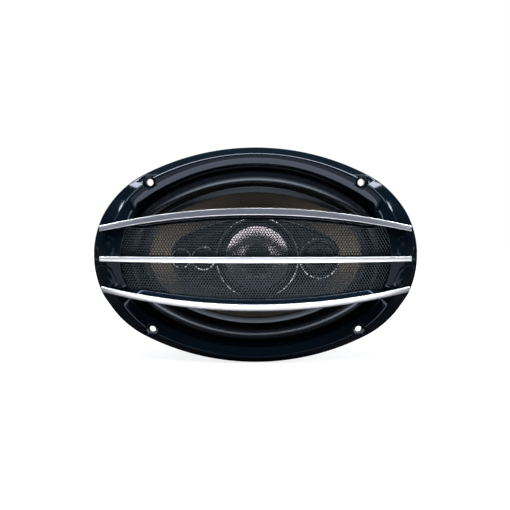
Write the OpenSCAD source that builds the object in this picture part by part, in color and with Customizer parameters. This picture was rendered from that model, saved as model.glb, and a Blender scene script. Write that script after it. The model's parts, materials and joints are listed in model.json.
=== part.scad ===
// Four-way oval coaxial car speaker with its grille, for a 6 x 9 inch style cut-out.
// Millimetres. The front faces -Y, +X is right and +Z is up. The origin is the middle of the
// four-screw pattern, on the mounting plane where the gasket meets the panel.
// Each piece is drawn lying down, with its own z pointing forward, and facing() stands it up.

/* [Grille frame] */
// Outer width of the grille frame
bezel_w = 244; // [240:1:250]
// Outer height of the grille frame
bezel_h = 164; // [160:1:168]
// Radius of the two end arcs of the frame's outline
bezel_end_r = 69; // [66:0.5:72]
// Thickness of the skirt round the basket flange
skirt_wall = 1.6; // [1.2:0.1:2]
// Thickness of the moulded shell
shell_wall = 1.8; // [1.4:0.1:2.2]
// Height of the outer edge at the top and bottom of the oval
edge_h = 4; // [3.5:0.1:5]
// Height of the outer edge at the two ends of the oval
edge_end_h = 7; // [6:0.1:8]
// How far the crest lies in from the outline at the top and bottom
crest_inset = 5.3; // [4.5:0.1:6.5]
// How far the crest lies in from the outline at the two ends
crest_end_inset = 11.8; // [10.5:0.1:13]
// Radius of the two end arcs of the crest line
crest_end_r = 66; // [64:0.5:68]
// Height of the crest at the top and bottom
crest_h = 10.4; // [9.5:0.1:11]
// Height of the shell over the crest line at the two ends
crest_end_h = 15.2; // [14:0.1:16]
// Height of the inner lip at the top and bottom
lip_h = 4.4; // [4:0.1:5.5]
// Height of the inner lip at the two ends, over the mesh
lip_end_h = 18; // [17.8:0.1:19]

/* [Mounting screws] */
// Distance of each screw hole in from the outline
screw_inset = 7.3; // [6.8:0.1:8]
// Direction of the outline's normal at each screw hole, in degrees
screw_angle = 63.37; // [58:0.01:66]
// Radius of the screw clearance holes
screw_hole_r = 2.6; // [2.1:0.1:2.8]
// Radius of the recess for a screw head
recess_r = 4.8; // [4.2:0.1:5]
// Height of the seat for a screw head
seat_h = 5.2; // [4.8:0.1:5.4]

/* [Trim bars and mesh] */
// How far the ends of the top and bottom bars lie in from the frame's outline
bar_inset = 9; // [7:0.5:12]
// Extra half length of the middle bar
middle_extra = 1; // [0:0.1:2]
// Height of the outer bars' middle above the centre line
bar_rise = 35.3; // [33:0.1:37]
// Height of the outer bars' ends above the centre line
bar_end_rise = 22.7; // [21:0.1:24]
// Forward place of the bars' seats at the middle
bar_front = 25.5; // [24.5:0.1:28]
// Forward place of the bars' seats at the ends
bar_end_front = 18.2; // [17.5:0.1:19]
// Width of the trim bars at the middle
bar_w = 5.2; // [4:0.1:6]
// Share of their middle width that the bars keep at the ends
bar_taper = 0.82; // [0.7:0.01:1]
// Thickness of the trim bars
bar_t = 1.5; // [1.2:0.1:2]
// How much thinner the outer bars are along their outer edge, so that they lean with the dome
bar_lean = 0.8; // [0.4:0.1:0.9]
// Width of the lip on which the mesh sits
rail_lip = 3.6; // [3:0.1:4.5]
// Depth of the rails behind the bars
rail_depth = 8.5; // [8:0.1:10]
// Distance of the mesh behind the bars' seats at the rails
mesh_depth = 5.1; // [5:0.1:6]
// Forward bulge of the mesh between the rails
mesh_bulge = 1.4; // [0.8:0.1:1.6]
// Thickness of the mesh sheet
mesh_t = 1; // [0.8:0.1:1.2]

/* [Basket] */
// Thickness of the pressed steel
steel_t = 1.5; // [1.2:0.1:1.8]
// Thickness of the foam gasket
gasket_t = 2; // [1.5:0.1:3]
// Depth of the surround's landing behind the flange
landing_depth = 5; // [4.5:0.1:6]
// Depth of the straight band under the landing
band_depth = 6; // [4:0.5:8]
// Radius of the spider ledge wall
ledge_r = 45.5; // [45:0.1:48]
// Depth of the spider ledge behind the mounting plane
ledge_depth = 34; // [33:0.5:36]
// Depth of the basket floor behind the mounting plane
floor_depth = 46; // [45.5:0.5:48]
// Half angle taken by each spoke, in degrees
spoke_half = 9; // [7:0.5:11]
// Directions of the spokes, in degrees
spoke_at = [0, 52, 128, 180, 232, 308];

/* [Woofer] */
// How far the cone's edge lies in from the frame's outline at the two ends
rim_end_w = 39.5; // [38:0.5:41]
// How far the cone's edge lies in from the frame's outline at the top and bottom
rim_side_w = 32.5; // [31:0.5:34]
// Radius of the two end arcs of the cone's edge
cone_end_r = 35.6; // [34:0.1:37]
// Thickness of the cone
cone_t = 0.9; // [0.6:0.1:1.2]
// Depth of the cone from its edge to its neck
cone_depth = 26; // [24:0.5:27]
// Radius of the surround's roll
roll_r = 8; // [7.5:0.1:8.2]
// Thickness of the surround's rubber
rubber_t = 0.9; // [0.7:0.1:1.2]
// Inner radius of the voice coil former
former_r = 17; // [16.5:0.1:17.5]
// Wall of the voice coil former
former_t = 0.3; // [0.2:0.05:0.4]
// Length of the voice coil former
former_len = 29; // [28:0.5:31]
// Build of the voice coil winding
coil_build = 0.6; // [0.4:0.05:0.7]
// Length of the voice coil winding
coil_len = 12; // [10:0.5:14]
// Corrugations of the spider
spider_waves = 5; // [4:1:6]
// Height of each corrugation of the spider
spider_wave_h = 1.2; // [0.8:0.1:1.4]

/* [Motor] */
// Radius of the top and back plates
plate_r = 45; // [43:0.5:46]
// Thickness of the top and back plates
plate_t = 6; // [5:0.5:7]
// Radius of the magnet
magnet_r = 50; // [48:0.5:52]
// Radius of the magnet's hole
magnet_hole_r = 24; // [22:0.5:26]
// Thickness of the magnet
magnet_t = 17; // [15:0.5:19]
// Thickness of the rubber boot
boot_t = 3; // [2:0.5:4]
// Width of the boot's rim over the back plate
boot_rim = 9; // [8:0.5:11]
// Clearance on each side of the voice coil in the gap
gap_clear = 0.5; // [0.4:0.05:0.6]

/* [Coaxial pod] */
// Forward place of the pod's front plate
pod_front = 14; // [13:0.1:14.5]
// Depth of the pod's housing
pod_depth = 15; // [14.5:0.5:16]
// Wall of the pod's mouldings
pod_wall = 1.6; // [1.2:0.1:1.8]
// Height of the pod's outline
pod_h = 61; // [60:0.5:64]
// Radius of the two end arcs of the pod's outline
pod_end_r = 19; // [17:0.5:21]
// Outer radius of the midrange ring
mid_r = 30.7; // [29.5:0.1:31]
// Outer radius of the tweeter ring
tweeter_r = 15.1; // [14:0.1:16]
// Outer radius of the inner piezo tweeter ring
inner_r = 8.8; // [8.2:0.1:9.2]
// Outer radius of the outer piezo tweeter ring
outer_r = 7.4; // [7:0.1:8]
// Gap between neighbouring rings
ring_gap = 0.4; // [0.2:0.1:0.8]
// Height of the rings above the pod's front plate
ring_h = 2; // [1.5:0.1:2.2]
// Radius of the hollow centre post
post_r = 5; // [4.5:0.1:5.5]
// Radius of the hole along the post
post_hole_r = 3; // [2.5:0.1:3.4]

/* [Terminals] */
// Width of the positive spade
positive_w = 6.3; // [6.2:0.1:6.4]
// Width of the negative spade
negative_w = 4.8; // [4.6:0.1:5]
// Thickness of the spades
spade_t = 0.8; // [0.5:0.1:1]
// Reach of the spades past the board
spade_reach = 8; // [7:0.5:10]
// Thickness of the terminal board
board_t = 1.6; // [1.2:0.1:2]
// Width of the terminal board
board_w = 30; // [28:1:34]

/* [Hidden] */
$fn = 96;

fit = 0.1;            // slip fit between parts that are screwed or glued together
soft_gap = 0.3;       // clearance round soft pieces
over = 0.5;           // how far a cutter passes the face it cuts
around = 60;          // steps round a lofted oval

// Ovals are [half width, half height, end radius]. A larger or smaller one that runs
// parallel has the same centres.
bezel = [bezel_w / 2, bezel_h / 2, bezel_end_r];
edge = [bezel[0] - rim_end_w, bezel[1] - rim_side_w, cone_end_r];
function grow(o, d) = [o[0] + d, o[1] + d, o[2] + d];
function mix(a, b, s) = a * (1 - s) + b * s;
function long_r(o) = (o[0] * o[0] - 2 * o[0] * o[2] + o[1] * o[1]) / (2 * (o[1] - o[2]));
function turn(o) = atan2(long_r(o) - o[1], o[0] - o[2]);
// The point of an oval where its outward normal has the angle t
function oval_pt(o, t) =
    let (big = long_r(o))
    abs(sin(t)) <= sin(turn(o))
        ? [sign(cos(t)) * (o[0] - o[2]) + o[2] * cos(t), o[2] * sin(t)]
        : [big * cos(t), big * sin(t) - sign(sin(t)) * (big - o[1])];

// Surround and basket, as distances out from the cone's edge
roll_mid = roll_r + 1.5;
roll_out = roll_mid + roll_r;
landing_w = 3;
tub_in = roll_out + landing_w + soft_gap;
tub_out = tub_in + steel_t;
opening = grow(edge, roll_out);
flange = grow(bezel, -skirt_wall - 0.4);
flange_top = gasket_t + steel_t;
landing_z = flange_top - steel_t - landing_depth;
cone_z = landing_z - 1;
neck_r = former_r + former_t + fit;
neck_z = cone_z - cone_depth;
band_z = landing_z - steel_t - band_depth;

// Motor, from the basket's floor back
coil_r = former_r + former_t + coil_build;
plate_hole_r = coil_r + gap_clear;
pole_r = former_r - gap_clear;
top_z = -floor_depth;
magnet_z = top_z - plate_t;
back_z = magnet_z - magnet_t;
rear_z = back_z - plate_t;
former_top = neck_z + 3;
coil_mid = top_z - plate_t / 2;
rivet_r = 1.5;
rivet_ring = 34;

// Pod, its rings in one row from the left: outer piezo, inner piezo, midrange, tweeter
row_left = 2 * (outer_r + inner_r + ring_gap);
row_right = 2 * tweeter_r + ring_gap;
mid_x = (row_left - row_right) / 2;
tweeter_x = mid_x + mid_r + ring_gap + tweeter_r;
inner_x = mid_x - mid_r - ring_gap - inner_r;
outer_x = inner_x - inner_r - ring_gap - outer_r;
pod = [tweeter_x + tweeter_r + 0.5, pod_h / 2, pod_end_r];
pod_rear = pod_front - pod_depth;
pod_screw_x = 32;
pod_screw_y = 19;
pod_screw_len = 9;
cup_r = 21;
cup_depth = 12.5;
cup_z = pod_rear - cup_depth;
boss_r = post_r + 3.5;
boss_len = 6;
boss_z = cup_z - boss_len;

// Midrange driver, from its ring inwards and back
mid_open = mid_r - 3.3;
mid_cone_r = mid_open - 3;
mid_cone_z = pod_front - 0.8;
mid_neck_r = 8.3;
mid_neck_z = mid_cone_z - 7.5;
mid_cap_r = 10.5;
mid_cap_rise = 3;
mid_plate_r = 15;
mid_yoke_z = cup_z + pod_wall + fit;
mid_magnet_t = 6;
mid_plate_t = 2;
mid_magnet_z = mid_yoke_z + mid_plate_t;
mid_top_z = mid_magnet_z + mid_magnet_t;

// Tweeter, from the pod's front plate back
tweeter_dome_r = 7;
tweeter_dome_rise = 2.8;
tweeter_cup_r = tweeter_r - 4.5;
tweeter_cup_depth = 8;
tweeter_cup_t = 1.5;
tweeter_gap_r = 7.6;
tweeter_pole_r = 6.2;
tweeter_pole_h = 5.5;

// Terminals and rear hardware
tab_w = 26;
tab_z = -ledge_depth - 4.4;
board_z = tab_z - board_t - 0.05;
board_y = -ledge_r - 3;
board_h = 18;
rivet_gap = 3.4;
nut_h = 5;
post_end = rear_z - nut_h - 2.5;

// Places along a bar
bar_half = bezel[0] - bar_inset;
function bar_y(x, side) = side * mix(bar_rise, bar_end_rise, pow(x / bar_half, 2));
function bar_z(x) = mix(bar_front, bar_end_front, pow(x / bar_half, 2));
function bar_wide(x) = bar_w * mix(1, bar_taper, pow(x / bar_half, 2));

recess_wall = 1.2;
recess_tilt = 42;

// Height of one row of the grille frame: low at the top and bottom, high at the ends
end_from = 28;
end_to = 58;
function smooth(s) = let (c = min(1, max(0, s))) c * c * (3 - 2 * c);
function off_axis(t) = asin(abs(sin(t)));
function endness(t) = 1 - smooth((off_axis(t) - end_from) / (end_to - end_from));
function row_z(low, high, t) = mix(low, high, endness(t));

module facing() rotate([90, 0, 0]) children();

module oval(o) polygon([for (i = [0 : 2 * around - 1]) oval_pt(o, 180 * i / around)]);

module oval_ring(outer, inner, z, h) {
    translate([0, 0, z]) linear_extrude(h) difference() {
        oval(outer);
        oval(inner);
    }
}

// A closed surface through sections, wrapped round or capped at its ends. Each section is a loop
// of points that runs clockwise when seen from the section after it.
module skin(sections, wrap = false) {
    n = len(sections[0]);
    m = len(sections);
    points = [for (s = sections) for (p = s) p];
    walls = [
        for (i = [0 : m - (wrap ? 1 : 2)]) for (j = [0 : n - 1])
            let (a = i * n + j, b = i * n + (j + 1) % n,
                 c = ((i + 1) % m) * n + (j + 1) % n, d = ((i + 1) % m) * n + j)
            for (f = [[a, b, c], [a, c, d]]) f
    ];
    caps = wrap ? [] : [[for (j = [n - 1 : -1 : 0]) j], [for (j = [0 : n - 1]) (m - 1) * n + j]];
    polyhedron(points, concat(walls, caps), convexity = 6);
}

function reversed(v) = [for (i = [len(v) - 1 : -1 : 0]) v[i]];

// A round wire along a route, with its corners cut twice
function cut_corners(p) = concat(
    [p[0]],
    [for (i = [0 : len(p) - 2]) for (s = [0.25, 0.75]) mix(p[i], p[i + 1], s)],
    [p[len(p) - 1]]
);
function unit(v) = v / norm(v);
module wire(route, r, sides = 8) {
    p = cut_corners(cut_corners(route));
    skin([
        for (i = [0 : len(p) - 1])
            let (along = unit(p[min(i + 1, len(p) - 1)] - p[max(i - 1, 0)]),
                 side = unit(cross(along, [1, 0, 0])), up = cross(side, along))
            [for (k = [0 : sides - 1])
                p[i] + r * (cos(360 * k / sides) * side + sin(360 * k / sides) * up)]
    ]);
}

module tube(z, h, r, hole) {
    translate([0, 0, z]) linear_extrude(h) difference() {
        circle(r);
        circle(hole);
    }
}

// Puts its children at the four screws, each with its own y pointing out of the oval
module at_screws() {
    for (t = [screw_angle, 180 - screw_angle, 180 + screw_angle, -screw_angle])
        translate(concat(oval_pt(grow(bezel, -screw_inset), t), 0)) rotate(t - 90) children();
}

// ---- Grille ----

// Crest line of the frame, and the rows of its outer surface from the foot to the lip
crest = [bezel[0] - crest_end_inset, bezel[1] - crest_inset, crest_end_r];
foot_z = 0.3;
outer_rows = [
    [bezel, foot_z, foot_z],
    [bezel, edge_h, edge_end_h],
    [grow(bezel, -0.8), edge_h + 1.1, edge_end_h + 1.3],
    [mix(bezel, crest, 0.55), mix(edge_h, crest_h, 0.72), mix(edge_end_h, crest_end_h, 0.66)],
    [crest, crest_h, crest_end_h],
    [mix(crest, opening, 0.4), mix(crest_h, lip_h, 0.14), mix(crest_end_h, lip_end_h, 0.5)],
    [mix(crest, opening, 0.75), mix(crest_h, lip_h, 0.44), mix(crest_end_h, lip_end_h, 0.85)],
    [opening, lip_h, lip_end_h]
];
cavity_rows = [
    for (i = [1 : len(outer_rows) - 1])
        let (r = outer_rows[i], in = i < 3 ? -skirt_wall + 0.8 * (i - 1) : 0)
        [grow(r[0], in), r[1] - shell_wall, r[2] - shell_wall]
];

function row_pts(rows, t) = [for (r = rows) let (p = oval_pt(r[0], t)) [p[0], p[1], row_z(r[1], r[2], t)]];

module frame_ring() {
    difference() {
        skin([
            for (k = [0 : around - 1])
                let (t = 360 * k / around, up = row_pts(outer_rows, t), last = up[len(up) - 1])
                concat(up, [[last[0], last[1], last[2] - shell_wall]],
                       reversed(row_pts(cavity_rows, t)),
                       [let (p = oval_pt(grow(bezel, -skirt_wall), t)) [p[0], p[1], foot_z]])
        ], wrap = true);
        at_screws() translate([0, 0, flange_top]) cylinder(r = recess_r + recess_wall + fit, h = crest_h);
    }
}

// Six hooks in the skirt snap behind the rim of the basket's flange
hook_w = 7;
hook_angles = [-30, 0, 30, 150, 180, 210];
module hooks() {
    intersection() {
        oval_ring(grow(bezel, -skirt_wall - 2 * fit), grow(flange, -1), foot_z, gasket_t - foot_z - fit);
        for (a = hook_angles) rotate(a) translate([bezel[0] / 2, -hook_w / 2, foot_z])
            cube([bezel[0], hook_w, gasket_t]);
    }
}

// Height of the ring's surface at the ends, where a rail lies over it
function surface_z(x, y) = lookup(abs(x), [
    for (i = [len(outer_rows) - 1 : -1 : 1])
        let (o = outer_rows[i][0]) [o[0] - o[2] + sqrt(o[2] * o[2] - y * y), outer_rows[i][2]]
]);
function rail_lip_x(y) = opening[0] - opening[2] + sqrt(opening[2] * opening[2] - y * y);

// Front of the mesh, bulging forwards between the rails and flat at its ends
function mesh_high(x) = bar_y(x, 1) - 1.2;
function mesh_z(x, y) =
    let (fade = max(0, 1 - pow(x / (opening[0] + 2), 2)), across = 1 - pow(y / mesh_high(x), 2))
    bar_z(x) - mesh_depth + mesh_bulge * fade * max(0, across);

// Section of a rail: deep between the lips of the ring, and shallow where it lies over the ring
function rail_section(x, side, over_ring) =
    let (y = bar_y(x, side), z = bar_z(x), w = bar_wide(x) / 2 - (side == 0 ? 0.3 : 0),
         low = over_ring ? surface_z(x, max(0, abs(y) - w - 0.4)) + 4 * fit - z : fit - mesh_depth,
         lip = over_ring ? 0.2 : rail_lip,
         inner = over_ring ? low : mesh_z(x, max(0, abs(y) - w - lip)) + 2 * fit - z,
         deep = over_ring ? low - 2 * fit : -rail_depth)
    side == 0
        ? [[x, w, z], [x, -w, z], [x, -w - 0.4, z + inner], [x, w + 0.4, z + inner]]
        : [for (q = [[w, 0], [-w, 0], [-w - lip, 0.7 * inner], [-w - lip, inner],
                     [w - 2, low + fit], [w - 2, deep + fit], [w, deep + fit]])
            [x, y + side * q[0], z + q[1]]];

module rail(side) {
    lip_x = rail_lip_x(side == 0 ? 4 : bar_end_rise + 9.5) - 0.6;
    deep = [for (i = [0 : 10]) [(lip_x - 0.4) * i / 10, false]];
    shallow = [for (i = [0 : 5]) [mix(lip_x, bar_half - 1.5, i / 5), true]];
    right = concat(deep, shallow);
    stations = concat([for (i = [len(right) - 1 : -1 : 1]) [-right[i][0], right[i][1]]], right);
    skin([
        for (p = stations) let (q = rail_section(p[0], side, p[1])) side < 0 ? q : reversed(q)
    ]);
}

module grille_frame() color([0.05, 0.08, 0.13]) facing() {
    frame_ring();
    at_screws() {
        tube(flange_top + fit, seat_h - flange_top - fit, recess_r + recess_wall, screw_hole_r);
        difference() {
            tube(seat_h - 0.6, crest_h, recess_r + recess_wall, recess_r);
            for (tilt = [-recess_tilt, recess_tilt])
                translate([0, 0, crest_h - 0.4]) rotate([tilt, 0, 0])
                    translate([0, 0, crest_h]) cube([40, 80, 2 * crest_h], center = true);
        }
    }
    hooks();
}

// The rails are moulded with the ring on the real grille
module grille_rails() color([0.05, 0.08, 0.13]) facing() for (side = [-1, 0, 1]) rail(side);

module grille_mesh() color([0.12, 0.12, 0.13]) facing() {
    half = opening[0] + 1.5;
    cols = 20;
    rows = 8;
    skin([
        for (i = [-cols : cols])
            let (x = half * i / cols, high = mesh_high(x))
            let (front = [for (j = [-rows : rows]) [x, high * j / rows, mesh_z(x, high * j / rows)]])
            concat(front, reversed([for (p = front) p - [0, 0, mesh_t]]))
    ]);
}

module trim_bar(half, side, narrow) {
    skin([
        for (i = [-24 : 24])
            let (x = half * i / 24, w = bar_wide(x) / 2 * narrow, y = bar_y(x, side),
                 z = bar_z(x) + fit / 2)
            [for (q = [[w, 0], [-w, 0], [-w, 0.5 * bar_t], [0.35 * w - w, bar_t], [-0.3 * w, bar_t],
                       [-0.2 * w, 0.9 * bar_t], [w - 0.5, bar_t], [w, 0.6 * bar_t]])
                [x, y + q[0], z + q[1] * (1 - bar_lean * (w + side * q[0]) / (2 * w) * abs(side))]]
    ]);
}

module trim_bar_top() color("silver") facing() trim_bar(bar_half, 1, 1);
module trim_bar_middle() color("silver") facing() trim_bar(bar_half + middle_extra, 0, 0.92);
module trim_bar_bottom() color("silver") facing() trim_bar(bar_half, -1, 1);

// ---- Basket, gasket and suspension ----

// Profile of a spoke in the direction t: the wall from the band down to the ledge
function spoke_pts(t, d) = [
    for (s = [0 : 0.25 : 1])
        let (o = oval_pt(grow(edge, tub_in - 0.3 - d), t), c = (ledge_r + 0.6 - d) * [cos(t), sin(t)],
             p = mix(o, c, s), z = mix(band_z - fit, -ledge_depth - 0.6, s + 0.5 * s * (1 - s)) + 0.6 * d)
        [p[0], p[1], z]
];

module spoke(at) {
    skin([
        for (i = [-4 : 4])
            let (t = at + spoke_half * i / 4)
            concat(spoke_pts(t, steel_t), reversed(spoke_pts(t, 0)))
    ]);
}

module at_rivets() for (a = [45, 135, 225, 315]) rotate(a) translate([rivet_ring, 0, 0]) children();
module at_board_rivets() for (x = [-rivet_gap, rivet_gap]) translate([x, board_y - 3.5, 0]) children();

module basket() color([0.1, 0.1, 0.11]) facing() {
    difference() {
        oval_ring(flange, grow(edge, tub_in), gasket_t, steel_t);
        at_screws() translate([0, 0, -over]) cylinder(r = screw_hole_r, h = flange_top + 2 * over);
    }
    oval_ring(grow(edge, tub_out), grow(edge, tub_in), landing_z, flange_top - steel_t - landing_z);
    oval_ring(grow(edge, tub_out), grow(edge, roll_out), landing_z - steel_t, steel_t);
    oval_ring(grow(edge, tub_in), grow(edge, tub_in - steel_t), band_z, band_depth);
    for (a = spoke_at) spoke(a);
    difference() {
        rotate_extrude() polygon([
            [ledge_r, -ledge_depth], [ledge_r, top_z], [plate_hole_r + 2, top_z],
            [plate_hole_r + 2, top_z + steel_t], [ledge_r - steel_t, top_z + steel_t],
            [ledge_r - steel_t, -ledge_depth - steel_t], [ledge_r - 6, -ledge_depth - steel_t],
            [ledge_r - 6, -ledge_depth]
        ]);
        at_rivets() translate([0, 0, top_z - over]) cylinder(r = rivet_r, h = steel_t + 2 * over);
    }
    difference() {
        translate([-tab_w / 2, board_y - 7, tab_z]) cube([tab_w, 7 - board_y - ledge_r + steel_t, steel_t]);
        translate([0, 0, tab_z - over]) cylinder(r = ledge_r - steel_t, h = 2 * steel_t);
        at_board_rivets() translate([0, 0, tab_z - over]) cylinder(r = rivet_r, h = steel_t + 2 * over);
    }
}

module mounting_gasket() color([0.15, 0.15, 0.15]) facing() difference() {
    oval_ring(grow(flange, -1.2), grow(edge, tub_out + 0.4), 0, gasket_t);
    at_screws() translate([0, 0, -over]) cylinder(r = screw_hole_r, h = gasket_t + 2 * over);
}

// The surround's upper face: the flat on the landing, the roll, and the flat on the cone
roll_line = concat(
    [[roll_out + landing_w, 0]],
    [for (i = [0 : 8]) [roll_mid + roll_r * cos(22.5 * i), roll_r * sin(22.5 * i)]],
    [[-1, 0]]
);
module surround() color([0.07, 0.07, 0.08]) facing() skin([
    for (k = [0 : around - 1])
        let (t = 360 * k / around)
        concat(surround_pts(t, rubber_t), reversed(surround_pts(t, 0)))
], wrap = true);
function surround_pts(t, d) = [
    for (i = [0 : len(roll_line) - 1])
        let (q = roll_line[i], flat = i == 0 || i == len(roll_line) - 1,
             out = flat ? q[0] : roll_mid + (q[0] - roll_mid) * (1 + (d - rubber_t / 2) / roll_r),
             up = flat ? d : max(d, q[1] * (1 + (d - rubber_t / 2) / roll_r)),
             p = oval_pt(grow(edge, out), t))
        [p[0], p[1], landing_z + fit + up]
];

// The cone's front surface, from its edge at s = 0 to its neck at s = 1
function cone_pt(t, s, z) =
    let (p = mix(oval_pt(grow(edge, 1.2), t), neck_r * [cos(t), sin(t)], s))
    [p[0], p[1], z - cone_depth * (0.8 * s + 0.2 * s * s)];

function cone_line(t, z) = [for (i = [0 : 5]) cone_pt(t, i / 5, z)];

module cone() color([0.36, 0.31, 0.22]) facing() skin([
    for (k = [0 : around - 1])
        let (t = 360 * k / around)
        concat(cone_line(t, landing_z), reversed(cone_line(t, landing_z - cone_t)))
], wrap = true);

module spider() color([0.75, 0.6, 0.3]) facing() {
    inner = neck_r + 0.2;
    last = ledge_r - steel_t - 0.4;
    flat = 5;
    z = -ledge_depth + fit;
    span = last - inner - 2 * flat + 3;
    steps = 8 * spider_waves;
    wave = [for (i = [0 : steps])
        [inner + 2 + span * i / steps, z + spider_wave_h * (1 - cos(360 * spider_waves * i / steps)) / 2]];
    low = concat([[inner, z]], wave, [[last, z]]);
    rotate_extrude() polygon(concat(low, reversed([for (p = low) p + [0, 0.5]])));
}

module voice_coil_former() color([0.75, 0.7, 0.55]) facing()
    tube(former_top - former_len, former_len, former_r + former_t, former_r);

module voice_coil() color([0.72, 0.36, 0.16]) facing()
    tube(coil_mid - coil_len / 2, coil_len, coil_r, former_r + former_t);

// Route of one tinsel lead, from the terminal board through the window to the back of the cone
lead_x = 8;
lead_r = 0.8;
lead_route = [
    [-57.5, -38.2], [-57.3, -35], [-55, -31], [-50.5, -27.5], [-44, -25], [-38, -25], [-33, -24], [-30, -20.5]
];

module tinsel_leads() color([0.7, 0.6, 0.45]) facing()
    for (side = [-1, 1]) wire([for (p = lead_route) [side * lead_x, p[0], p[1]]], lead_r, 6);

// ---- Motor ----

module top_plate() color([0.55, 0.56, 0.58]) facing() difference() {
    tube(magnet_z, plate_t, plate_r, plate_hole_r);
    at_rivets() translate([0, 0, magnet_z + 1]) cylinder(r = rivet_r, h = plate_t);
}

module magnet() color([0.16, 0.16, 0.17]) facing() tube(back_z, magnet_t, magnet_r, magnet_hole_r);

module back_plate() color([0.55, 0.56, 0.58]) facing() {
    tube(rear_z, plate_t, plate_r, post_r + fit);
    tube(back_z - over, top_z - back_z + 2 * over, pole_r, post_r + fit);
}

module magnet_boot() color([0.09, 0.09, 0.09]) facing() rotate_extrude() polygon([
    [magnet_r + soft_gap, magnet_z - 0.5], [magnet_r + soft_gap, back_z - soft_gap],
    [plate_r + soft_gap, back_z - soft_gap], [plate_r + soft_gap, rear_z - soft_gap],
    [plate_r - boot_rim, rear_z - soft_gap], [plate_r - boot_rim, rear_z - boot_t + 1],
    [plate_r - boot_rim + 1, rear_z - boot_t], [magnet_r + boot_t - 4, rear_z - boot_t],
    [magnet_r + boot_t - 1, rear_z - boot_t + 1.5], [magnet_r + boot_t, rear_z - boot_t + 4],
    [magnet_r + boot_t, magnet_z - 0.5]
]);

module basket_rivets() color([0.8, 0.8, 0.78]) facing() at_rivets() {
    translate([0, 0, top_z + steel_t]) cylinder(r1 = 2.8, r2 = 2, h = 1.4);
    translate([0, 0, magnet_z + 1]) cylinder(r = rivet_r, h = plate_t + steel_t);
}

module centre_post() color([0.7, 0.7, 0.7]) facing()
    tube(post_end, boss_z + boss_len - 0.5 - post_end, post_r, post_hole_r);

module post_spacer() color([0.1, 0.1, 0.1]) facing()
    tube(top_z + 2 * over, boss_z - top_z - 2 * over, boss_r - 0.5, post_r + fit);

module post_washer() color([0.75, 0.75, 0.72]) facing() tube(rear_z - 1, 1, 10, post_r + fit);

module post_nut() color([0.78, 0.78, 0.75]) facing() difference() {
    translate([0, 0, rear_z - 1 - nut_h]) cylinder(r = 9, h = nut_h, $fn = 6);
    translate([0, 0, rear_z - 1 - nut_h - over]) cylinder(r = post_r + fit / 2, h = nut_h + 2 * over);
}

// ---- Coaxial pod ----

module at_pod_screws() for (x = [-1, 1]) for (y = [-1, 1])
    translate([x * pod_screw_x, y * pod_screw_y, 0]) children();

module pod_holes() {
    translate([mid_x, 0]) circle(mid_open);
    translate([tweeter_x, 0]) circle(tweeter_r - 4);
    translate([inner_x, 0]) circle(inner_r - 2.5);
    translate([outer_x, 0]) circle(outer_r - 2.3);
}

module pod_housing() color([0.06, 0.06, 0.07]) facing() {
    oval_ring(pod, grow(pod, -pod_wall), pod_rear, pod_depth - pod_wall);
    translate([0, 0, pod_front - pod_wall]) linear_extrude(pod_wall) difference() {
        oval(pod);
        pod_holes();
    }
    at_pod_screws() tube(pod_rear, pod_depth - pod_wall, 3, 1.2);
}

module pod_back() color([0.07, 0.07, 0.08]) facing() {
    difference() {
        translate([0, 0, pod_rear - pod_wall]) linear_extrude(pod_wall - fit) difference() {
            oval(pod);
            translate([mid_x, 0]) circle(cup_r - pod_wall);
        }
        at_pod_screws() translate([0, 0, pod_rear - pod_wall - over]) cylinder(r = 1.5, h = 3);
    }
    translate([mid_x, 0, 0]) rotate_extrude() polygon([
        [cup_r, pod_rear - pod_wall], [cup_r, cup_z + 3], [cup_r - 3, cup_z], [boss_r + 2, cup_z],
        [boss_r + 2, cup_z + pod_wall], [cup_r - 3, cup_z + pod_wall],
        [cup_r - pod_wall, cup_z + 3.6], [cup_r - pod_wall, pod_rear - pod_wall]
    ]);
    difference() {
        translate([0, 0, boss_z]) cylinder(r = boss_r, h = boss_len + pod_wall);
        translate([0, 0, boss_z - over]) cylinder(r = post_r + fit, h = boss_len + over);
        translate([0, 0, boss_z]) cylinder(r = post_hole_r, h = 2 * boss_len);
    }
    difference() {
        translate([mid_x, 0, cup_z]) cylinder(r = boss_r + 2.5, h = pod_wall);
        translate([0, 0, cup_z - over]) cylinder(r = boss_r - 0.5, h = pod_wall + 2 * over);
    }
}

module pod_screws() color([0.7, 0.7, 0.72]) facing() at_pod_screws() {
    translate([0, 0, pod_rear - pod_wall - 1.6]) cylinder(r1 = 1.8, r2 = 2.6, h = 1.6);
    translate([0, 0, pod_rear - pod_wall - fit]) cylinder(r = 1.15, h = pod_screw_len);
}

// A ring on the pod's front plate, with a rounded lip
module trim_ring(x, outer, inner) translate([x, 0, pod_front]) rotate_extrude() polygon([
    [inner, 0], [outer, 0], [outer, ring_h - 0.8], [outer - 0.8, ring_h], [outer - 1.6, ring_h],
    [inner, 0.5 * ring_h]
]);

// A dome with a flat rim: base radius, rise, rim radius and thickness
module dome(base, rise, rim, t) {
    ball = (base * base + rise * rise) / (2 * rise);
    rotate_extrude() {
        intersection() {
            difference() {
                translate([0, rise - ball]) circle(ball);
                translate([0, rise - ball]) circle(ball - t);
            }
            square([base + t, 2 * rise]);
        }
        translate([base - t / 2, 0]) square([rim - base + t / 2, t]);
    }
}

module midrange_ring() color([0.05, 0.05, 0.06]) facing() trim_ring(mid_x, mid_r, mid_open);

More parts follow.
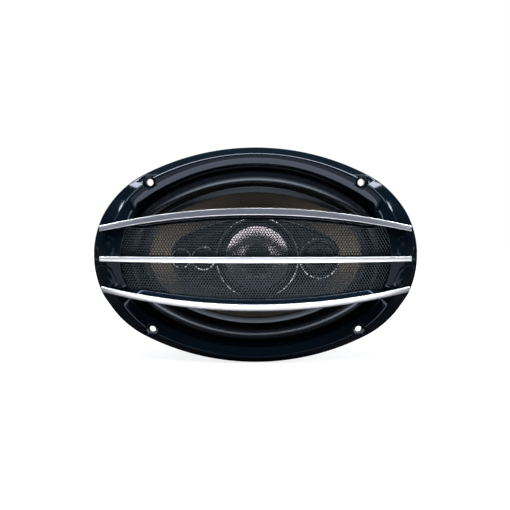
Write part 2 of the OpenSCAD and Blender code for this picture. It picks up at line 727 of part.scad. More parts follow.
module midrange_basket() color([0.45, 0.45, 0.47]) facing() translate([mid_x, 0, 0]) {
    floor_z = mid_top_z + mid_plate_t + fit;
    rotate_extrude() polygon([
        [mid_open - 0.2, mid_cone_z - 1.1], [mid_open - 0.2, mid_cone_z - 2.1],
        [mid_open - 1.2, mid_cone_z - 2.1], [mid_plate_r + 3, floor_z], [mid_neck_r + 2.5, floor_z],
        [mid_neck_r + 2.5, floor_z + 1], [mid_plate_r + 2.2, floor_z + 1],
        [mid_open - 1.6, mid_cone_z - 1.1]
    ]);
}

module midrange_surround() color([0.1, 0.1, 0.1]) facing() translate([mid_x, 0, mid_cone_z - 1])
    rotate_extrude() {
        difference() {
            translate([mid_open - 1.7, 0]) circle(1.3, $fn = 32);
            translate([mid_open - 1.7, 0]) circle(0.9, $fn = 32);
            translate([mid_open - 5, -5]) square([10, 5]);
        }
        translate([mid_open - 0.6, 0]) square([0.5, 0.4]);
    }

module midrange_cone() color([0.75, 0.7, 0.72]) facing() translate([mid_x, 0, 0]) rotate_extrude() polygon([
    [mid_cone_r + 0.2, mid_cone_z - 1], [mid_cone_r - 4, mid_cone_z - 3.2], [mid_neck_r, mid_neck_z],
    [mid_neck_r, mid_neck_z - 0.6], [mid_cone_r - 4, mid_cone_z - 3.8], [mid_cone_r + 0.2, mid_cone_z - 1.5]
]);

module midrange_dust_cap() color([0.2, 0.2, 0.22]) facing()
    translate([mid_x, 0, mid_neck_z + 0.9]) dome(mid_cap_r - 1.2, mid_cap_rise, mid_cap_r - 0.9, 0.4);

module midrange_coil() color([0.72, 0.36, 0.16]) facing() translate([mid_x, 0, 0]) {
    tube(mid_top_z - 2, mid_neck_z - mid_top_z + 2, mid_neck_r - fit, mid_neck_r - 0.4);
    tube(mid_top_z - 1.5, 4.5, mid_neck_r + 0.4, mid_neck_r - fit);
}

module midrange_magnet() color([0.16, 0.16, 0.17]) facing() translate([mid_x, 0, 0])
    tube(mid_magnet_z, mid_magnet_t, mid_plate_r, mid_neck_r + 2);

module midrange_yoke() color([0.55, 0.56, 0.58]) facing() translate([mid_x, 0, 0]) {
    tube(mid_yoke_z, mid_plate_t, mid_plate_r, post_hole_r + 1);
    tube(mid_magnet_z, mid_magnet_t + mid_plate_t, mid_neck_r - 0.9, post_hole_r + 1);
    tube(mid_top_z, mid_plate_t, mid_plate_r, mid_neck_r + 0.9);
}

module tweeter_ring() color([0.05, 0.05, 0.06]) facing() trim_ring(tweeter_x, tweeter_r, tweeter_cup_r);

module tweeter_dome() color([0.15, 0.15, 0.17]) facing()
    translate([tweeter_x, 0, pod_front - pod_wall + 0.4])
        dome(tweeter_dome_r, tweeter_dome_rise, tweeter_cup_r - soft_gap, 0.3);

module tweeter_magnet() color([0.5, 0.5, 0.52]) facing()
    translate([tweeter_x, 0, pod_front - pod_wall - tweeter_cup_depth]) {
        tube(0, tweeter_cup_t, tweeter_cup_r, 1);
        tube(tweeter_cup_t, tweeter_cup_depth - tweeter_cup_t - fit, tweeter_cup_r, tweeter_gap_r);
        tube(tweeter_cup_t, tweeter_pole_h, tweeter_pole_r, 1);
    }

// A piezo tweeter: its ring, the cone of its diaphragm, and the cup that holds the element
module piezo_dome(x, r) translate([x, 0, pod_front + 0.1]) dome(0.55 * r, 1.4, 0.55 * r + 0.8, 0.3);
module piezo_body(x, r) translate([x, 0, pod_front - pod_wall - 6]) rotate_extrude() polygon([
    [0, 0], [r - 1.4, 0], [r - 1.4, 5.9], [r - 2.2, 5.9], [r - 2.2, 1], [0, 1]
]);

module inner_piezo_ring() color([0.05, 0.05, 0.06]) facing() trim_ring(inner_x, inner_r, inner_r - 2.8);
module inner_piezo_dome() color([0.2, 0.2, 0.22]) facing() piezo_dome(inner_x, inner_r);
module inner_piezo_body() color([0.1, 0.1, 0.1]) facing() piezo_body(inner_x, inner_r);
module outer_piezo_ring() color([0.05, 0.05, 0.06]) facing() trim_ring(outer_x, outer_r, outer_r - 2.4);
module outer_piezo_dome() color([0.2, 0.2, 0.22]) facing() piezo_dome(outer_x, outer_r);
module outer_piezo_body() color([0.1, 0.1, 0.1]) facing() piezo_body(outer_x, outer_r);

// ---- Terminals and leads ----

module terminal_board() color([0.45, 0.28, 0.14]) facing() difference() {
    translate([-board_w / 2, board_y - board_h, board_z]) cube([board_w, board_h, board_t]);
    at_board_rivets() translate([0, 0, board_z - over]) cylinder(r = rivet_r, h = board_t + 2 * over);
}

// A spade lying on the back of the board and reaching past its outer edge
module spade(x, w) translate([x - w / 2, board_y - board_h - spade_reach, board_z - spade_t - 0.05]) {
    linear_extrude(spade_t) difference() {
        polygon([[0.8, 0], [w - 0.8, 0], [w, 1.5], [w, spade_reach + 8], [0, spade_reach + 8], [0, 1.5]]);
        translate([w / 2, 4]) circle(0.9, $fn = 32);
    }
}
module terminal_positive() color([0.8, 0.75, 0.5]) facing() spade(-lead_x, positive_w);
module terminal_negative() color([0.8, 0.75, 0.5]) facing() spade(lead_x, negative_w);

module terminal_rivets() color([0.8, 0.8, 0.78]) facing() at_board_rivets() {
    translate([0, 0, board_z - 1]) cylinder(r1 = 2, r2 = 2.6, h = 1);
    translate([0, 0, board_z - 0.05]) cylinder(r = rivet_r, h = board_t + steel_t + 0.3);
    translate([0, 0, tab_z + steel_t]) cylinder(r1 = 2.6, r2 = 2, h = 1);
}

module crossover_capacitor() color([0.1, 0.16, 0.4]) facing()
    translate([-9, board_y - 12, board_z - 4.9]) rotate([0, 90, 0]) cylinder(r = 4, h = 18);

// Route of one pod lead, from the post's end over the boot to the terminal board
pod_lead_route = [
    [0, 0, -82.5], [0, -1, -85], [0, -6, -86], [0, -20, -82], [0, -40, -80.4], [0, -50, -80.4],
    [0, -55.5, -77], [0, -55.5, -66], [0, -55.5, -56], [0, -56.5, -50], [0, -58, -46], [0, -60, -41.2]
];

module pod_leads() color([0.75, 0.1, 0.1]) facing()
    for (side = [-1, 1]) wire([
        for (i = [0 : len(pod_lead_route) - 1])
            let (p = pod_lead_route[i]) [side * mix(1.2, lead_x + 5, smooth((i - 4) / 5)), p[1], p[2]]
    ], 0.9);

grille_frame();
grille_rails();
grille_mesh();
trim_bar_top();
trim_bar_middle();
trim_bar_bottom();
basket();
mounting_gasket();
surround();
cone();
spider();
voice_coil_former();
voice_coil();
tinsel_leads();
top_plate();
magnet();
back_plate();
magnet_boot();
basket_rivets();
centre_post();
post_spacer();
post_washer();
post_nut();
pod_housing();
pod_back();
pod_screws();
midrange_ring();
midrange_basket();
midrange_surround();
midrange_cone();
midrange_dust_cap();
midrange_coil();
midrange_magnet();
midrange_yoke();
tweeter_ring();
tweeter_dome();
tweeter_magnet();
inner_piezo_ring();
inner_piezo_dome();
inner_piezo_body();
outer_piezo_ring();
outer_piezo_dome();
outer_piezo_body();
terminal_board();
terminal_positive();
terminal_negative();
terminal_rivets();
crossover_capacitor();
pod_leads();
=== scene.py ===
"""Oval coaxial car speaker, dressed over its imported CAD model.

Lengths in the sections are millimetres in the part's own drawing frame, x right, y up and z out
of the front. solid() turns them into the frame's metres.
"""

import json
import math

import bmesh
import bpy
import numpy as np
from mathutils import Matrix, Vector
from mathutils.bvhtree import BVHTree


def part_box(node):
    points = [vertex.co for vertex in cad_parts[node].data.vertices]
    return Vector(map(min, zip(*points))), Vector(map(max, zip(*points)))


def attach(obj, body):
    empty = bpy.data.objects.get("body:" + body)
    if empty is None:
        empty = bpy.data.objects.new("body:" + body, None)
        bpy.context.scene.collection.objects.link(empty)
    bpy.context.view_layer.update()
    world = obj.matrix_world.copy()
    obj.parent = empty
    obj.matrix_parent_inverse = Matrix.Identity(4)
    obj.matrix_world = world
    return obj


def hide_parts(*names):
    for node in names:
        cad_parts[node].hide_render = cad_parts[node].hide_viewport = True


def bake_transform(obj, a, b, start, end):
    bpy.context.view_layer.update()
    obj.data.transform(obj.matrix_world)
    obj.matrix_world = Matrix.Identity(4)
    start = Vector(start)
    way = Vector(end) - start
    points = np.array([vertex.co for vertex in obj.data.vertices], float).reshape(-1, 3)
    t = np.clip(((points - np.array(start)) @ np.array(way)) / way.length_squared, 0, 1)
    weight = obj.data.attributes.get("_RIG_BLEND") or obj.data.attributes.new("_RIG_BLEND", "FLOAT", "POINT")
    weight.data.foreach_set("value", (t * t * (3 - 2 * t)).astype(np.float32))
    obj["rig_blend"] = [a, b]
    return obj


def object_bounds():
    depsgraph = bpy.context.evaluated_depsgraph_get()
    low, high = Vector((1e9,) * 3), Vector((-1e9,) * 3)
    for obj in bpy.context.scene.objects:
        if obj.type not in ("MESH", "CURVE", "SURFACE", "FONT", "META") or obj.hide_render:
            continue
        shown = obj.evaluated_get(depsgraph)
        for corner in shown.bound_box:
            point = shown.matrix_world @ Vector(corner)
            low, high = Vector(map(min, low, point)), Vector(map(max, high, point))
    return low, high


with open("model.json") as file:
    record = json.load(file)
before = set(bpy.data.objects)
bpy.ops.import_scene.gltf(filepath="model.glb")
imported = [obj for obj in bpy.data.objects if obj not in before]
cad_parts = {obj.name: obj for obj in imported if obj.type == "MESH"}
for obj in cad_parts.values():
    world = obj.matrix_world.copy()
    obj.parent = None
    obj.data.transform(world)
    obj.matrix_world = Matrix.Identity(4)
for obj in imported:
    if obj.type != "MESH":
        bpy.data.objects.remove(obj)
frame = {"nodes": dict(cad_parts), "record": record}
cad_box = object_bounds()

# ---- Camera ----
# The photograph was taken from straight in front and a little above, with a longish lens.
# These points of it, in its own pixels, are what the camera was set to fit; they also place the
# dab of glue.
W, H = 510, 510
POINTS = {
    "left_edge": (94.0, None),
    "right_edge": (416.5, None),
    "top_edge": (None, 147.0),
    "bottom_edge": (None, 362.5),
    "screw_top_left": (150.1, 182.6),
    "screw_top_right": (361.7, 182.5),
    "screw_bottom_left": (153.0, 331.3),
    "screw_bottom_right": (358.9, 330.1),
    "top_bar": (255.2, 210.2),
    "middle_bar": (255.4, 259.5),
    "bottom_bar": (255.4, 308.1),
    "midrange": (256.5, 257.5),
    "tweeter": (319.5, 255.0),
    "inner_piezo": (202.0, 258.0),
    "outer_piezo": (179.8, 257.8),
    "lead_glue": (226.5, 292.8),
}
SENSOR = 36.0
LENS = 49.25
CAMERA_RISE = math.radians(6.7)
CAMERA_AWAY = 0.533
AIM = (-0.0004, 0.0, 0.0008)

camera = bpy.data.objects.new("camera", bpy.data.cameras.new("camera"))
bpy.context.scene.collection.objects.link(camera)
bpy.context.scene.camera = camera
camera.data.sensor_fit = "AUTO"
camera.data.sensor_width = SENSOR
camera.data.lens = LENS
camera.location = Vector(AIM) + CAMERA_AWAY * Vector((
    0, -math.cos(CAMERA_RISE), math.sin(CAMERA_RISE)))
camera.rotation_euler = (math.pi / 2 - CAMERA_RISE, 0, 0)
bpy.context.view_layer.update()

# ---- Studio ----
# A pale table, a white backdrop and soft lamps. Boxes overhead, at both sides, low in front and on
# the table only show in the gloss, where they draw its lines. Fills from the front, the sides and
# the rear only light the dull parts.


class Wire:
    """One socket of a node tree. Arithmetic on wires adds Math nodes."""

    def __init__(self, tree, socket=None):
        self.tree = tree
        self.socket = socket

    def node(self, kind, settings=None, sockets=None):
        made = self.tree.nodes.new(kind)
        for key, value in (settings or {}).items():
            if key == "stops":
                while len(made.color_ramp.elements) < len(value):
                    made.color_ramp.elements.new(1)
                for stop, (at, colour) in zip(made.color_ramp.elements, value):
                    stop.position, stop.color = at, (*colour, 1)
            else:
                setattr(made, key, value)
        for key, value in (sockets or {}).items():
            into = made.inputs[key] if isinstance(key, int) else next(
                socket for socket in made.inputs if socket.name == key and socket.enabled)
            if isinstance(value, Wire):
                self.tree.links.new(value.socket, into)
            elif into.type == "RGBA":
                into.default_value = (*value, 1)
            else:
                into.default_value = value
        return Wire(self.tree, next((s for s in made.outputs if s.enabled), None))

    def __getitem__(self, name):
        return Wire(self.tree, self.socket.node.outputs[name])

    def math(self, operation, first, second):
        return self.node("ShaderNodeMath", {"operation": operation}, {0: first, 1: second})

    def __add__(self, other):
        return self.math("ADD", self, other)

    __radd__ = __add__

    def __mul__(self, other):
        return self.math("MULTIPLY", self, other)

    __rmul__ = __mul__

    def __sub__(self, other):
        return self.math("SUBTRACT", self, other)

    def __rsub__(self, other):
        return self.math("SUBTRACT", other, self)

    def __pow__(self, other):
        return self.math("POWER", self, other)

    def __gt__(self, other):
        return self.math("GREATER_THAN", self, other)


def seen_directly(pen, where):
    """1 for the camera's rays, and for those off a mirror or glass that end where this is 1."""
    path = pen.node("ShaderNodeLightPath")
    return path["Is Camera Ray"] + (path["Is Glossy Ray"] + path["Is Transmission Ray"]) * where


FLOOR_Z = cad_box[0].z
FLOOR_HALF = 0.75
# Painted shadow: the gloss mirrors the floor as white only outside a fixed oval round the speaker,
# and inside it sees the dark dull floor, which takes real lamplight and shadow, in place of the
# shade that the speaker casts. The oval is twice as wide as it is deep, its middle lies behind the
# speaker, and its reach is given squared.
SHADE_SQUEEZE = 0.5
SHADE_BACK = 0.12
SHADE_REACH_2 = 0.13
# The backdrop is what lies this far round towards the rear, as a share of straight back
BACKDROP = 0.88

floor_mesh = bpy.data.meshes.new("floor")
floor_mesh.from_pydata(
    [(x * FLOOR_HALF, y * FLOOR_HALF, FLOOR_Z) for x, y in ((-1, -1), (1, -1), (1, 1), (-1, 1))],
    [], [(0, 1, 2, 3)])
floor = bpy.data.objects.new("floor", floor_mesh)
bpy.context.scene.collection.objects.link(floor)

paper = bpy.data.materials.new("studio_paper")
paper.use_nodes = True
paper.node_tree.nodes.clear()
pen = Wire(paper.node_tree)
dull = pen.node("ShaderNodeBsdfDiffuse", {}, {"Color": (0.07, 0.07, 0.08)})
shaded = pen.node("ShaderNodeBsdfDiffuse", {}, {"Color": (0.34, 0.34, 0.35)})
glow = pen.node("ShaderNodeEmission", {}, {"Color": (1, 1, 1), "Strength": 0.84})
shown = pen.node("ShaderNodeAddShader", {}, {0: shaded, 1: glow})
on_floor = pen.node("ShaderNodeSeparateXYZ", {}, {0: pen.node("ShaderNodeTexCoord")["Object"]})
# Painted shadow: glossy rays that land inside the oval see the dull floor instead of the white
from_shade = (on_floor["X"] * SHADE_SQUEEZE) ** 2.0 + (on_floor["Y"] - SHADE_BACK) ** 2.0
lit_up = seen_directly(pen, from_shade > SHADE_REACH_2)
mixed = pen.node("ShaderNodeMixShader", {}, {0: lit_up, 1: dull, 2: shown})
pen.node("ShaderNodeOutputMaterial", {}, {"Surface": mixed})
floor_mesh.materials.append(paper)

# The backdrop behind the speaker is white to the camera, in the gloss and through glass. The
# room on the camera's side is dark, as its reflections show.
world = bpy.data.worlds.new("studio")
bpy.context.scene.world = world
world.use_nodes = True
world.node_tree.nodes.clear()
pen = Wire(world.node_tree)
toward = pen.node("ShaderNodeSeparateXYZ", {}, {0: pen.node("ShaderNodeTexCoord")["Generated"]})
room = pen.node("ShaderNodeValToRGB", {"stops": [
    (0.00, (0.22, 0.24, 0.28)),
    (0.46, (0.12, 0.14, 0.18)),
    (0.53, (0.05, 0.06, 0.09)),
    (0.72, (0.07, 0.09, 0.13)),
    (1.00, (0.16, 0.19, 0.24)),
]}, {0: toward["Z"] * 0.5 + 0.5})
around_it = pen.node("ShaderNodeBackground", {}, {"Color": room})
white = pen.node("ShaderNodeBackground", {}, {"Color": (1, 1, 1)})
sky = pen.node("ShaderNodeMixShader", {}, {
    0: seen_directly(pen, toward["Y"] > BACKDROP), 1: around_it, 2: white})
pen.node("ShaderNodeOutputWorld", {}, {"Surface": sky})
bpy.context.scene.view_settings.view_transform = "Standard"


def softbox(name, at, size, watts, target=(0, 0, 0), lights=True, mirrored=True):
    """A rectangular lamp aimed at a place. It lights dull surfaces, shows in gloss, or both."""
    lamp = bpy.data.lights.new(name, "AREA")
    lamp.shape = "RECTANGLE"
    lamp.size, lamp.size_y = size
    lamp.energy = watts
    box = bpy.data.objects.new(name, lamp)
    bpy.context.scene.collection.objects.link(box)
    box.location = at
    box.rotation_euler = (Vector(at) - Vector(target)).to_track_quat("Z", "Y").to_euler()
    box.visible_glossy = mirrored
    box.visible_diffuse = lights


softbox("overhead_box", (0, -0.10, 1.0), (2.2, 0.22), 35, lights=False)
softbox("front_box", (0, -1.0, -0.03), (0.5, 0.08), 0.07, lights=False)
softbox("left_box", (-0.85, -0.50, 0.62), (0.14, 0.62), 2.4, lights=False)
softbox("right_box", (0.85, -0.50, 0.62), (0.14, 0.62), 2.4, lights=False)
softbox("table_box", (0, -0.20, -0.079), (0.32, 0.20), 1.0, target=(0, -0.20, 1), lights=False)
softbox("front_fill", (0, -0.62, 1.4), (1.2, 0.5), 32, mirrored=False)
softbox("left_fill", (-1.0, -0.6, 0.8), (0.5, 0.5), 4, mirrored=False)
softbox("right_fill", (1.0, -0.6, 0.8), (0.5, 0.5), 4, mirrored=False)
softbox("rear_fill", (0.5, 1.5, 0.9), (1.2, 1.2), 16, mirrored=False)

# ---- Grille ring ----
# The moulded oval ring that the buyer sees, in glossy blue-black plastic. It snaps over the
# basket's flange with its skirt, and four long screws pass through the cups sunk in its crest.
MM = 0.001


def to_frame(point):
    return Vector((point[0], -point[2], point[1])) * MM


def solid(name, points, faces, finish, crease=35):
    """A piece from points in millimetres, with edges sharper than the crease kept crisp."""
    mesh = bpy.data.meshes.new(name)
    mesh.from_pydata([to_frame(p) for p in points], [], faces)
    made = bmesh.new()
    made.from_mesh(mesh)
    bmesh.ops.remove_doubles(made, verts=made.verts, dist=1e-7)
    bmesh.ops.recalc_face_normals(made, faces=made.faces)
    made.to_mesh(mesh)
    made.free()
    mesh.shade_smooth()
    mesh.set_sharp_from_angle(angle=math.radians(crease))
    if finish:
        mesh.materials.append(finish)
    piece = bpy.data.objects.new(name, mesh)
    bpy.context.scene.collection.objects.link(piece)
    return piece


def loft(name, sections, finish, wrap=False, crease=35):
    """A skin through closed sections, wrapped round or capped at both ends."""
    n, m = len(sections[0]), len(sections)
    faces = [
        (i * n + j, i * n + (j + 1) % n, (i + 1) % m * n + (j + 1) % n, (i + 1) % m * n + j)
        for i in range(m if wrap else m - 1) for j in range(n)
    ]
    if not wrap:
        faces += [tuple(range(n)), tuple(range((m - 1) * n, m * n))]
    return solid(name, [p for s in sections for p in s], faces, finish, crease)


def rounded(corners, cuts, steps=3, closed=True):
    """The corners with each one turned into an arc that starts and ends its cut away."""
    n = len(corners)
    cuts = cuts if isinstance(cuts, (list, tuple)) else [cuts] * n
    made = []
    for i, corner in enumerate(corners):
        here = np.array(corner, float)
        if cuts[i] == 0 or (not closed and i in (0, n - 1)):
            made.append(tuple(here))
            continue
        before, after = (np.array(corners[k % n], float) - here for k in (i - 1, i + 1))
        a = here + before * min(0.48, cuts[i] / max(np.linalg.norm(before), 1e-6))
        b = here + after * min(0.48, cuts[i] / max(np.linalg.norm(after), 1e-6))
        for k in range(steps + 1):
            s = k / steps
            made.append(tuple(a * (1 - s) ** 2 + here * 2 * s * (1 - s) + b * s ** 2))
    return made


def grow(oval, by):
    """An oval that lies so far outside another, all the way round."""
    return tuple(size + by for size in oval)


def mix(a, b, share):
    """Between two values, or two ovals, by a share."""
    if isinstance(a, tuple):
        return tuple(mix(p, q, share) for p, q in zip(a, b))
    return a * (1 - share) + b * share


def ease(s):
    """A share held between 0 and 1, with a soft start and end."""
    s = min(1, max(0, s))
    return s * s * (3 - 2 * s)


def oval_at(oval, turn):
    """The point of an oval (half width, half height, end radius) whose normal has this angle."""
    wide, high, end = oval
    big = (wide * wide - 2 * wide * end + high * high) / (2 * (high - end))
    x, y = math.cos(turn), math.sin(turn)
    if abs(y) <= math.sin(math.atan2(big - high, wide - end)):
        return math.copysign(wide - end, x) + end * x, end * y
    return big * x, big * y - math.copysign(big - high, y)


def span(node):
    """A node's box at rest, as its half width, half height, back and front in millimetres."""
    low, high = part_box(node)
    return high.x / MM, (high.z - low.z) / 2 / MM, -high.y / MM, -low.y / MM


# Ovals, each as half its width, half its height and the radius of its ends: the ring's outline,
# its crest, the edge of the cone, and the ring's opening where the rubber's landing ends
ring_wide, ring_high, _, _ = span("grille_frame")
BEZEL = (ring_wide, ring_high, 69.0)
CREST = (ring_wide - 11.8, ring_high - 5.3, 66.0)
EDGE = (82.5, 49.5, 35.6)
ROLL_OUT = 17.5
OPENING = grow(EDGE, ROLL_OUT)
FOOT = 0.3
SHELL = 1.8
SKIRT = 1.6
RING_TURNS = 240
# The slope between the ends' height and the top's and bottom's, as its start and length in
# degrees off the long axis
UPPER_SLOPE = (25, 18)
LOWER_SLOPE = (22, 12)
# Each row is an oval, its height at the top and bottom, its height at the two ends, and how far
# its corner is rounded
RING_ROWS = [
    (BEZEL, FOOT, FOOT, 0.2),
    (BEZEL, 4.0, 7.0, 0.9),
    (mix(BEZEL, CREST, 0.84), 9.8, 14.5, 0.9),
    (CREST, 10.45, 15.9, 0.7),
    (mix(CREST, OPENING, 0.4), 9.5, 16.6, 1.4),
    (mix(CREST, OPENING, 0.75), 7.8, 17.2, 1.2),
    (OPENING, 4.4, 17.5, 0.5),
]
CAVITY_ROWS = [(grow(BEZEL, -SKIRT), 4.0 - SHELL, 7.0 - SHELL, 0.4)] + [
    (oval, low - SHELL, high - SHELL, 0.6) for oval, low, high, _ in RING_ROWS[2:]]


def ring_height(low, high, turn):
    """A row's height: low at the top and bottom of the oval, and high at its ends."""
    off = math.degrees(math.asin(min(1, abs(math.sin(turn)))))
    start, length = UPPER_SLOPE if math.sin(turn) > 0 else LOWER_SLOPE
    return mix(low, high, 1 - ease((off - start) / length))


def ring_section(rows, turn):
    """The points of these rows on one section of the ring."""
    return [(*oval_at(oval, turn), ring_height(low, high, turn)) for oval, low, high, _ in rows]


def ring_turns(count=RING_TURNS):
    """Even turns all the way round."""
    return [2 * math.pi * k / count for k in range(count)]


def settle(piece):
    """Applies a piece's modifiers."""
    graph = bpy.context.evaluated_depsgraph_get()
    mesh = bpy.data.meshes.new_from_object(piece.evaluated_get(graph))
    piece.modifiers.clear()
    piece.data = mesh


def carve(piece, tool, operation="DIFFERENCE"):
    """Cuts a piece with a tool, which goes."""
    cut = piece.modifiers.new("cut", "BOOLEAN")
    cut.object = tool
    cut.operation = operation
    cut.solver = "EXACT"
    settle(piece)
    bpy.data.objects.remove(tool)


def drums(name, centres, profile, finish=None, steps=64):
    """Turned solids of one profile of (radius, height) points, one at each centre."""
    points, faces = [], []
    n = len(profile)
    for x, y in centres:
        first = len(points)
        for k in range(steps):
            turn = 2 * math.pi * k / steps
            points += [(x + r * math.cos(turn), y + r * math.sin(turn), z) for r, z in profile]
            nxt = (k + 1) % steps
            faces += [
                (first + k * n + j, first + k * n + (j + 1) % n,
                 first + nxt * n + (j + 1) % n, first + nxt * n + j) for j in range(n)
            ]
    return solid(name, points, faces, finish)


def cutter(centres, radius, low, high, steps=64):
    """A plain rod at each centre, to bore holes with."""
    rod = [(0, low), (radius, low), (radius, high), (0, high)]
    return drums("cutter", centres, rod, None, steps)


def noise(pen, scale, detail=2.0, stretch=(1, 1, 1)):
    """Noise in the piece's own place, at so many cells a metre."""
    place_of = pen.node("ShaderNodeMapping", {}, {
        "Vector": pen.node("ShaderNodeTexCoord")["Object"], "Scale": stretch})
    return pen.node("ShaderNodeTexNoise", {}, {
        "Vector": place_of, "Scale": scale, "Detail": detail})


def tint(pen, share, first, second):
    """A colour between two, by a share."""
    return pen.node("ShaderNodeMix", {"data_type": "RGBA"}, {0: share, "A": first, "B": second})


def bumps(pen, height, depth):
    """A normal that leans with a height, for bumps so many metres deep."""
    return pen.node("ShaderNodeBump", {}, {
        "Height": height, "Distance": depth, "Strength": 1.0})


def coat(name, sockets_of):
    """A material from what sockets_of gives the Principled shader's sockets."""
    material = bpy.data.materials.new(name)
    material.use_nodes = True
    material.node_tree.nodes.clear()
    pen = Wire(material.node_tree)
    shader = pen.node("ShaderNodeBsdfPrincipled", {}, sockets_of(pen))
    pen.node("ShaderNodeOutputMaterial", {}, {"Surface": shader})
    return material


def navy(pen):
    smear = noise(pen, 60, 3)
    return {
        "Base Color": tint(pen, smear, (0.0008, 0.0042, 0.0078), (0.0018, 0.0068, 0.0120)),
        "Roughness": 0.05 + 0.05 * smear,
        "IOR": 1.36,
        "Specular Tint": (0.62, 0.72, 0.92),
        "Normal": bumps(pen, noise(pen, 900, 1), 0.000002),
    }


navy_gloss = coat("navy_gloss", navy)


def dress(piece, body, slot, *nodes):
    """Rides a piece on its body and hides the CAD nodes that it stands for. Its slot is not used."""
    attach(piece, body)
    if nodes:
        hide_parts(*nodes)
    return piece


# The ring's shell, and a solid that fills it to the middle of its wall and trims the screws' cups
ring_cuts = [row[3] for row in RING_ROWS]
ring_sections = []
under_sections = []
for turn in ring_turns():
    outer = ring_section(RING_ROWS, turn)
    lip = (*outer[-1][:2], outer[-1][2] - SHELL)
    heel = (*oval_at(grow(BEZEL, -SKIRT), turn), FOOT)
    cavity = list(reversed(ring_section(CAVITY_ROWS, turn)))[1:]
    ring_sections.append(rounded(
        outer + [lip] + cavity + [heel], ring_cuts + [0.3] + [0.4] * len(cavity) + [0.3], steps=5))
    drop = [(x, y, z - SHELL / 2) for x, y, z in rounded(outer, ring_cuts, 5, closed=False)]
    under_sections.append(drop + [(*outer[-1][:2], -2)])
grille_ring = loft("grille_ring", ring_sections, navy_gloss, wrap=True, crease=50)

# Cups for the screws, sunk in the crest and standing on the basket's flange
pattern = frame["record"]["mounts"][0]["dims"]
HOLE_R = pattern["hole_r_mm"]
screw_at = [(i * pattern["spacing_x_mm"] / 2, j * pattern["spacing_y_mm"] / 2)
            for i, j in ((-1, 1), (1, 1), (-1, -1), (1, -1))]
RECESS_R = 4.8
CUP_WALL = 1.2
SEAT = 5.2
CUP_FLOOR = 3.6
carve(grille_ring, cutter(screw_at, RECESS_R, 3, 30))
screw_cups = drums("screw_cups", screw_at, rounded([
    (HOLE_R, CUP_FLOOR), (RECESS_R + CUP_WALL, CUP_FLOOR), (RECESS_R + CUP_WALL, 20),
    (RECESS_R, 20), (RECESS_R, SEAT), (HOLE_R, SEAT)], [0.2, 0.2, 0, 0, 0.7, 0.4]), navy_gloss)
carve(screw_cups, loft("under_ring", under_sections, None, wrap=True), "INTERSECT")
dress(grille_ring, "frame", "navy_gloss", "grille_frame")
dress(screw_cups, "frame", "navy_gloss")

# ---- Grille rails ----
# Three curved rails bridge the ring, one under each silver bar, and hold the mesh's edges.
# They are moulded with the ring, in the same gloss.
bar_half, _, _, bar_face = span("trim_bar_top")
BAR_T = 1.5
BAR_W = 5.2
BAR_TAPER = 0.82
BAR_FRONT = bar_face - BAR_T
BAR_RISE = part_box("trim_bar_top")[1].z / MM - BAR_W / 2
BAR_END_RISE = 22.7
BAR_END_FRONT = 18.2
MESH_DEPTH = 5.1
MESH_BULGE = 1.4
RAIL_LIP = 3.6
RAIL_DEPTH = 8.5
RAIL_WEB = 1.8
RAIL_SINK = 1.2


def bar_y(x, side):
    """How high a bar's middle line lies."""
    return side * mix(BAR_RISE, BAR_END_RISE, (x / bar_half) ** 2)


def bar_z(x):
    """How far forward the bars' seats lie."""
    return mix(BAR_FRONT, BAR_END_FRONT, (x / bar_half) ** 2)


def bar_wide(x):
    """A bar's width, which tapers to its ends."""
    return BAR_W * mix(1, BAR_TAPER, (x / bar_half) ** 2)


def end_x(oval, y):
    """How far out an oval's end arc lies at this height."""
    wide, _, end = oval
    return wide - end + math.sqrt(max(0, end ** 2 - y * y))


def dome(x):
    """How much of the mesh's bulge is left at x."""
    return max(0, 1 - (x / (OPENING[0] + 2)) ** 2)


END_ROWS = [(row[0], row[2]) for row in reversed(RING_ROWS[1:])]


def end_height(x, y):
    """Height of the ring's surface at its ends, where the rails run over it."""
    reach = [end_x(oval, y) for oval, _ in END_ROWS]
    return float(np.interp(abs(x), reach, [z for _, z in END_ROWS]))


def rail(name, side, half):
    """A rail as sections along x, deep between the ring's lips and sunk in the ring past them."""
    sections = []
    way = side or 1
    edge = end_x(OPENING, BAR_END_RISE + 8 if side else 3)
    for k in range(97):
        x = half * (k / 48 - 1)
        y, z, w = bar_y(x, side), bar_z(x), bar_wide(x) / 2 - 0.2
        past = ease((abs(x) - edge + 6) / 9)
        lip = mix(RAIL_LIP, 0.3, past) if side else 0.4
        low = -MESH_DEPTH + (0 if side else MESH_BULGE * dome(x))
        deep = -RAIL_DEPTH if side else low
        sunk = end_height(x, abs(y)) - RAIL_SINK - z
        low, deep = mix(low, min(low, sunk), past), mix(deep, sunk, past)
        corners = [(w, 0), (-w, 0), (-w - lip, 0.62 * low), (-w - lip, low)]
        if side:
            corners += [(w - RAIL_WEB, low), (w - RAIL_WEB, deep - 0.02), (w, deep - 0.02)]
        else:
            corners += [(w + lip, low), (w + lip, 0.62 * low)]
        turned = rounded(corners, [0.2, 0.3, 0.6, 0.15, 0.2, 0.15, 0.2][:len(corners)])
        sections.append([(x, y + way * a, z + b) for a, b in turned])
    return loft(name, sections, navy_gloss)


for name, side, extra in (("rail_top", 1, 0.3), ("rail_middle", 0, 1), ("rail_bottom", -1, 0.3)):
    dress(rail(name, side, bar_half + extra), "frame", "navy_gloss", "grille_rails")

# ---- End cheeks ----
# Four low pillows moulded on the ring's ends, above and below the middle bar. They are in the
# same gloss, and their rounded upper edges draw the short bright lines there.
CHEEK_RISE = 0.9
CHEEK_SINK = 0.3
CHEEK_IN = 17.2
CHEEK_OUT = 2.0
# How far the two corners on its falling diagonal are cut back
CHEEK_CUT = 0.22
# Its rings as shares of its full reach, closest where its edge rolls over
CHEEK_RINGS = (1.0, 0.985, 0.97, 0.955, 0.935, 0.91, 0.87, 0.8, 0.5, 0.02)


